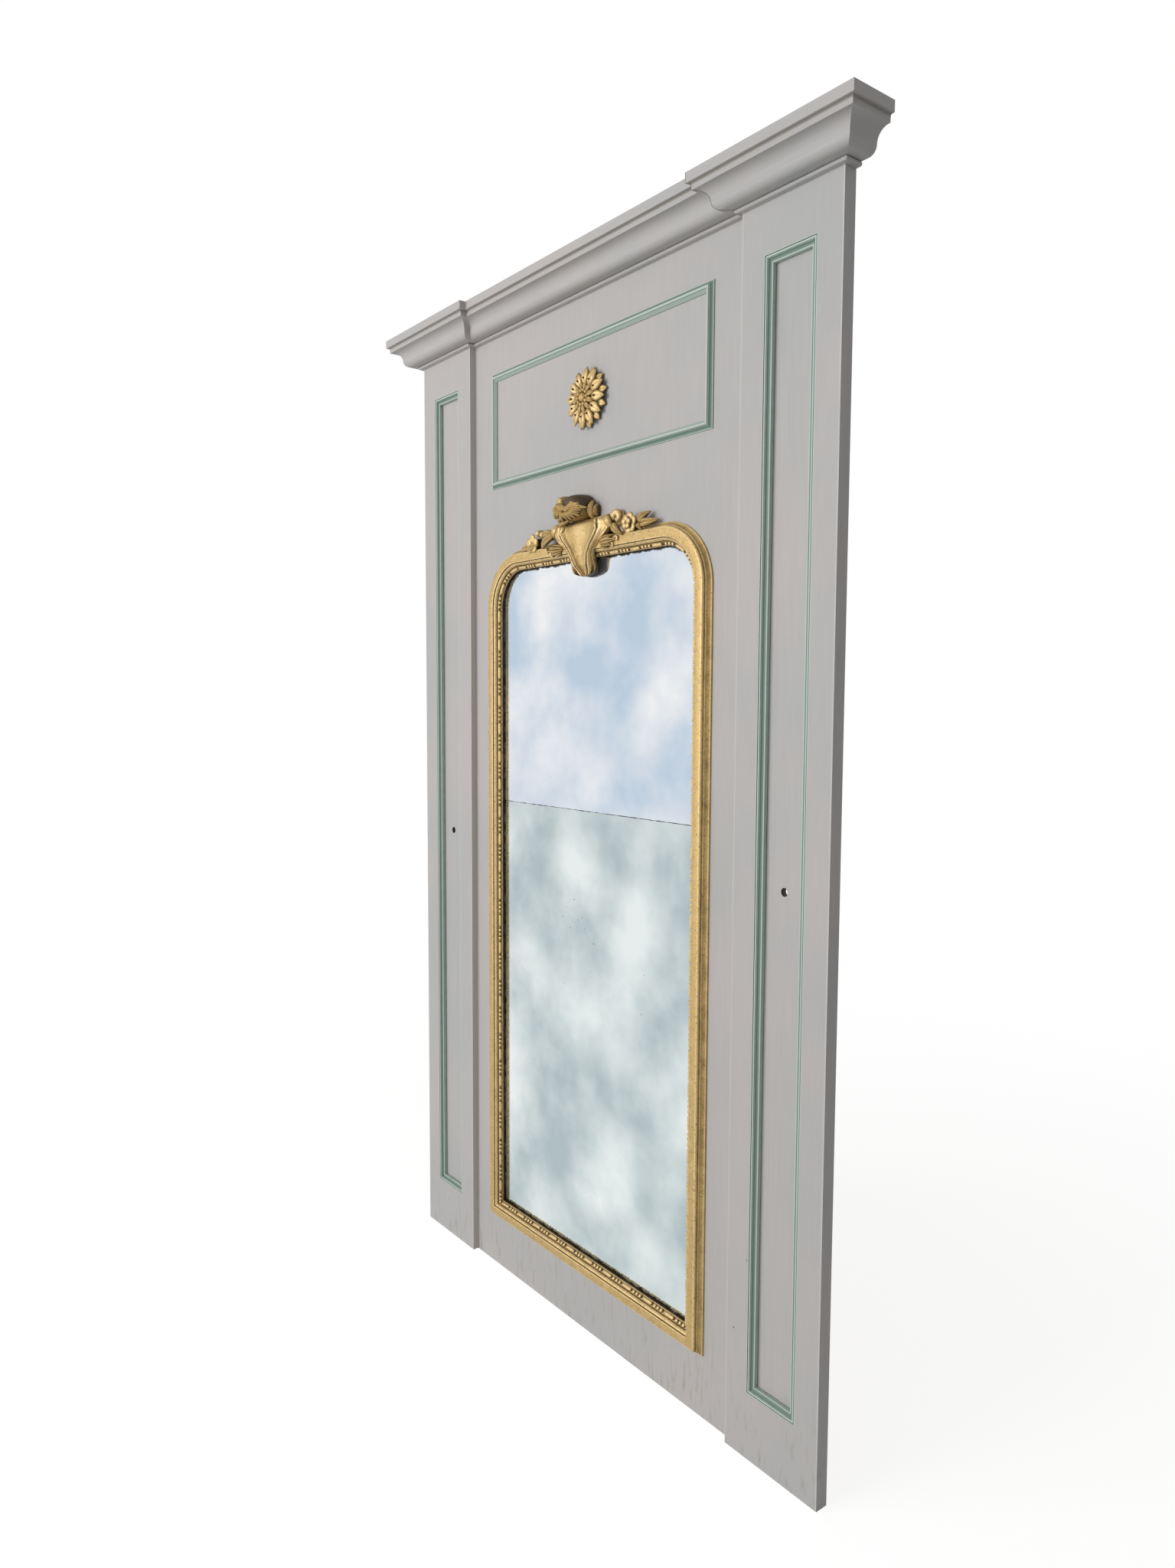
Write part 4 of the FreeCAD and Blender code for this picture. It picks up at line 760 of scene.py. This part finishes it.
def cartouche():
    """Rise over the field: at each height the eight lines have a way across and a rise, read from short tables; the
    points between them follow a half cosine from line to line. The back lies on the rail and over the glass."""
    height = np.linspace(CLOTH_TOP, CLOTH_TIP, 96)[:, None]
    inner = np.interp(height, [-63, -60, -54, -45, -29, -14, 2, 12, 24, 32], [0.5, 4, 7.5, 12, 18, 27, 43, 49, 47, 40])
    outer = np.interp(height, [-63, -60, -56, -50, -38, -29, -20, -10, 2, 14, 22, 32],
                      [6, 22, 31, 33, 31, 32, 38, 51, 68, 80, 82, 66])
    rolled = 9 * np.clip((height - 23) / 9, 0, 1) ** 2
    crest = np.interp(height, [-63, -54, -45, -29, 2, 12, 32], [10, 14, 20, 24, 26, 26, 25]) - rolled
    edge = np.interp(height, [-63, -50, -33, -20, 0, 32], [9, 13, 18, 21, 20, 17]) - 0.6 * rolled
    swell = np.interp(height, [-40, -12, 8, 24], [-5.0, -3.5, 2.5, 2.0])
    band = np.minimum(8, (outer - inner) / 2)
    lines = np.concatenate([0 * inner, 0.8 * inner, inner, inner + 0.5 * band, inner + band,
                            0.45 * (inner + band) + 0.55 * outer, 0.96 * outer, outer], 1)
    rises = np.concatenate([crest - 6, crest - 5.6, crest, crest - 2.4, crest - 0.8, edge + swell, edge, edge - 6], 1)
    # Rims are brighter, from wear and painted highlight, and the hollows hold painted shade; lower down, first the
    # hollow and then all of the outer part darkens.
    line = np.arange(8)
    wear_and_painted_shading = np.broadcast_to([0.5, -0.2, 1.0, -0.9, 0.9, 0.3, 0.9, -0.6], rises.shape)
    wear_and_painted_shading = wear_and_painted_shading - np.clip(-height / 22, 0, 1) * (line == 5) - np.clip(-(height + 46) / 10, 0, 1) * (line > 4)
    step = np.linspace(0, 7, 57)
    first = np.minimum(step.astype(int), 6)
    share = step - first
    eased = 0.5 - 0.5 * np.cos(np.pi * share)
    x, rise, ridge = [table[:, first] * (1 - way) + table[:, first + 1] * way
                      for table, way in ((lines, share), (rises, eased), (wear_and_painted_shading, eased))]
    x, rise, ridge = [np.concatenate([sign * half[:, :0:-1], half], 1)
                      for half, sign in ((x, -1), (rise, 1), (ridge, 1))]
    tall = np.broadcast_to(height, x.shape)
    seat = np.interp(tall, [-63, -50, -36, -33, -22, 2, 6, 32], [4, 6, 7, 10, 15, 14, 0.5, 0.5])
    front, back = [np.stack([x, tall, level], -1) for level in (rise, np.minimum(seat, rise - 2))]
    points = np.concatenate([front, back[:, ::-1]], 1)
    # The back is painted dark: painted shade on the side that faces the rail and the glass.
    return points, True, np.concatenate([ridge, 0 * ridge - 0.7], 1)


def curls(centre, reach, start, turns, thick):
    """Stack of scrolls at x, height and rise: a tube along a spiral. At share s along, the path lies at
    reach * (1 - 0.8 s) from the centre, turned by turns * s from the start; the tube thins to half."""
    s = np.linspace(0, 1, CURL_ROWS)[None, :, None]
    a = full_turn(CURL_COLS)
    angle = 2 * np.pi * (start + turns * s)
    tube = thick * (1 - 0.5 * s)
    far = reach * (1 - 0.8 * s) + tube * np.cos(a)
    points = np.stack([far * np.cos(angle), far * np.sin(angle), tube * np.sin(a) + 0 * far], -1)
    points = points + listed(centre)[:, None, None]
    # Painted highlight and shade: bright on the tube's upper side, dark beneath.
    return points, True, np.clip(0.9 * np.sin(a) - 0.2 + 0 * points[..., 0], -1, 1)


lobes = leaves([(-82, 8, 12), (-40, 31, 15), (82, 8, 12), (40, 31, 15)],
               [(-66, 34, 12), (-52, 8, 24), (66, 34, 12), (52, 8, 24)], [17, 9, 17, 9], [10, 5, 10, 5], [3, 2, 3, 2],
               crease=0.12, fullest=1.0)
add_carving("crest_cloth", [cartouche(), lobes], "crest_cartouche", CREST_LINE)

# %% [markdown]
# Above it sits a full-blown flower: one broad smooth outer petal folded over the top, two fans of narrow petals and
# stamens below it, six petals and a ribbed bud to the left and a folded leaf to the right. The broad petal's ridge
# value is lowered, so that it is darker brown.

# %% blossom
FAN = 12
fan_way = spokes(np.radians(np.linspace(190, 356, FAN)))[:, :2]


def fan(reach, middle, rise, lengths=1.0):
    """Points of a fan at x, height and rise: middle + length * reach along each direction."""
    return np.concatenate([lengths * fan_way * reach + middle, np.broadcast_to(rise, (FAN, 1))], 1)


broad_petal = toned(beads((-13, 57, 3), [(31, 20)], 36, rows=12, cols=40, full=0.6), 0.3, -0.95)
# The mound under the petals is painted darker: painted shade between the petals.
mound = toned(beads((-13, 43, 0.5), [(33, 13)], 38, rows=8, cols=32, full=0.4), 0.0, -0.4)
uneven = 0.8 + 0.35 * chance.random((FAN, 1))
ruffle = leaves(fan([18, 5], [-9, 50], 39.0), fan([42, 19], [-10, 48], 28 + 7 * chance.random((FAN, 1)), uneven),
                8.5, 8, 5.0, crease=0.3)
inner_fan = leaves(fan([8, 3], [-12, 58], 36.0),
                   fan([36, 10], [-12, 53], 37 + 3 * chance.random((FAN, 1)), uneven[::-1]), 8, 7, 4.0, crease=0.3)
stamens = np.stack([np.linspace(-40, 18, 10), 46 + 10 * chance.random(10), 37 + 3 * chance.random(10)], 1)
left_petals = leaves([(-20, 58, 38), (-22, 51, 39), (-24, 44, 39), (-20, 37, 37), (-14, 33, 28), (-20, 35, 24)],
                     [(-57, 60, 26), (-71, 49, 21), (-64, 40, 24), (-48, 31, 26), (-56, 25, 22), (-66, 33, 16)],
                     [8, 8.5, 8, 7.5, 10, 10], 8, 4.0, crease=0.4)
ribbed_bud = beads((-37, 65, 2), [(11, 12)], 37, ribs=8, depth=0.24, cols=48, full=0.4)
right_leaf = leaves([(23, 28, 4), (30, 34, 2)], [(24, 64, 6), (30, 57, 3)], [13, 9], [15, 12], 2.0, 0.25, 1.0)
blossom = [broad_petal, mound, ruffle, beads(stamens, 4.0, 8.0, rows=5, cols=10), inner_fan, left_petals, ribbed_bud,
           right_leaf]
add_carving("crest_flower", blossom, "crest_blossom", CREST_LINE)

# %% [markdown]
# Sprays of leaves and small flowers run along the rail to both sides: a five-petalled flower and three buds on the
# left, a scroll, a curled leaf and a rose on the right, and a little acanthus leaf on the rail beside the cartouche.

# %% sprays
def small_flower(x, height, radius, petals, rise):
    """A flower seen from the front: round petals about a bead, on a stalk that the shade keeps dark."""
    way = spokes(np.arange(petals) / petals * 2 * np.pi + 0.3)
    middle = np.array([x, height, rise])
    stalk = beads((x, height, 1), radius * 0.6, rise, full=0.4)
    return [beads(middle + way * radius * 0.56, radius * 0.44, 3.4, rows=6, cols=16, full=0.35),
            beads((x, height, rise - 1), radius * 0.17, 6, rows=5, cols=12), toned(stalk, 0.0, -0.9)]


def acanthus(side):
    """A small leaf on the rail's face: four lobes that spread from the cartouche, two of them ending in curls."""
    mirror = np.array([side, 1, 1])
    root = mirror * [(50, -13, 17), (54, -16, 17), (52, -9, 17), (56, -19, 16)]
    tip = mirror * [(100, -11, 17.5), (88, -19, 17), (90, -3, 17), (74, -23, 16)]
    ends = mirror * [(97, -11, 18.5), (84, -20, 17.5)]
    return [leaves(root, tip, [10, 8, 8, 7], 5, 2.0, crease=0.5), curls(ends, 4.0, 0.25, -0.8 * side, 2.2)]


left_leaves = leaves([(-130, 6, 12), (-152, 4, 8), (-80, 16, 15), (-84, 20, 14)],
                     [(-168, -6, 10), (-194, 2, 5), (-118, -5, 15), (-118, 20, 10)], [12, 13, 15, 13], 8, 5.0)
buds = beads([(-121, 21, 0.5), (-136, 25, 0.5), (-108, 18, 0.5)], [(8, 8), (8, 7), (9, 8)], [17, 15, 17], ribs=3,
             depth=0.15, full=0.5)
left_spray = small_flower(-147, 7, 18, 5, 16) + acanthus(-1) + [left_leaves, buds]
add_carving("crest_spray_left", left_spray, "crest_left_spray", CREST_LINE)
right_leaves = leaves([(90, 14, 17), (146, 10, 10), (146, 6, 10), (150, 10, 8)],
                      [(113, -7, 17), (172, 25, 8), (192, 9, 7), (156, -4, 12)], [14, 14, 14, 9], 9, 5.0)
scroll = curls((88, 25, 9), 11, 0.6, -1.0, 8.0)
seats = beads([(88, 25, 0.5), (106, 14, 0.5)], [(13, 13), (12, 10)], 9, full=0.5)
rose = small_flower(125, 11, 18, 6, 14) + small_flower(125, 11, 11, 5, 20)
add_carving("crest_spray_right", rose + acanthus(1) + [right_leaves, scroll, seats], "crest_right_spray", CREST_LINE)

# %% [markdown]
# A plain studio: a white floor under the panel's foot, a large soft lamp in front and to the left, and a weak white
# sky that fills the shadows. The camera and mirror-like surfaces see the sky at full white; the light that it gives
# the object is set apart from that.

# %% floor, sky and lamp
FLOOR_REACH, FADE_START, FADE_END = 40.0, 0.8, 2.6
GLOW, SKY_LIGHT, LAMP_SIZE, LAMP_POWER = 1.65, 0.3, 5.0, 340.0
LAMP_PLACE, LAMP_TARGET = Vector((-1.9, -6.5, 0.1)), Vector((0, 0, -0.75))
WHITE = colour("#FFFFFF")


def looked_at(tree, *rays):
    """1 for a ray of one of these kinds, 0 for all others."""
    kinds = add_node(tree, "LightPath", {}).outputs
    share = kinds[rays[0]]
    for ray in rays[1:]:
        share = maths("MAXIMUM", share, kinds[ray])
    return share


def blend(share, first, second):
    """Two shaders mixed by a share."""
    return add_node(first.id_data, "MixShader", {0: share, 1: first, 2: second}).outputs[0]


floor_mesh = bpy.data.meshes.new("studio_floor")
corners = [(-1, -1), (1, -1), (1, 1), (-1, 1)]
floor_mesh.from_pydata([(x * FLOOR_REACH, y * FLOOR_REACH, FOOT) for x, y in corners], [], [(0, 1, 2, 3)])
floor = bpy.data.objects.new("studio_floor", floor_mesh)
bpy.context.scene.collection.objects.link(floor)
material, shader, place, _ = new_finish("white_studio_floor")
tree = material.node_tree
set_sockets(shader, {"Base Color": colour("#E4E4E2"), "Roughness": 0.9, "Specular IOR Level": 0.1})
# Seen directly, the floor is half its own lit surface and half a glow that brings it up to white, so that the shadow
# stays; further out it fades to plain white, like the sky behind it.
fade = ranged(distance(place, (0.0, 0.0, FOOT)), FADE_START, FADE_END)
glow, white = [add_node(tree, "Emission", {"Color": WHITE, "Strength": strength}).outputs[0]
               for strength in (GLOW, 1.0)]
shown = blend(fade, blend(0.5, shader.outputs[0], glow), white)
whole = blend(looked_at(tree, "Is Camera Ray", "Is Glossy Ray"), shader.outputs[0], shown)
tree.links.new(whole, tree.nodes["Material Output"].inputs["Surface"])
floor_mesh.materials.append(material)

world = bpy.data.worlds.new("white_studio_sky")
bpy.context.scene.world = world
world.use_nodes = True
tree = world.node_tree
seen = looked_at(tree, "Is Camera Ray", "Is Glossy Ray", "Is Transmission Ray")
sky = {"Color": WHITE, "Strength": ranged(seen, first=SKY_LIGHT, last=1.0)}
set_sockets(tree.nodes["Background"], sky)

light = bpy.data.lights.new("front_left_lamp", "AREA")
light.shape, light.size, light.energy = "SQUARE", LAMP_SIZE, LAMP_POWER
lamp = bpy.data.objects.new("front_left_lamp", light)
lamp.location = LAMP_PLACE
lamp.rotation_euler = (LAMP_TARGET - LAMP_PLACE).to_track_quat("-Z", "Y").to_euler()
bpy.context.scene.collection.objects.link(lamp)
# The lamp leaves the glass out, so that the mirror shows a plain white studio from the front as well.
kept_dark = bpy.data.collections.new("not_lit_by_the_lamp")
for name in ("plate_upper", "plate_lower"):
    kept_dark.objects.link(bpy.data.objects[name])
for link in kept_dark.collection_objects:
    link.light_linking.link_state = "EXCLUDE"
lamp.light_linking.receiver_collection = kept_dark

# %% [markdown]
# The camera stands close to the panel's right side, a little above its middle, and looks back along it. Its place,
# turn and lens come from a least-squares fit of the panel's straight edges.

# %% camera
lens = bpy.data.cameras.new("close_from_the_right")
lens.sensor_fit, lens.sensor_width, lens.lens = "AUTO", 36.0, 24.6
camera = bpy.data.objects.new("close_from_the_right", lens)
place = (1.48241, -1.17741, -0.54658)
right, down, ahead = (0.61219, 0.79070, 0.00426), (0.06328, -0.04363, -0.99704), (-0.78817, 0.61065, -0.07674)
turn = np.array([right, np.negative(down), np.negative(ahead)]).T
camera.matrix_world = Matrix.Translation(place) @ Matrix(turn.tolist()).to_4x4()
bpy.context.scene.collection.objects.link(camera)
bpy.context.scene.camera = camera
bpy.context.scene.view_settings.view_transform = "Standard"
print("camera at", [round(v, 2) for v in camera.location])
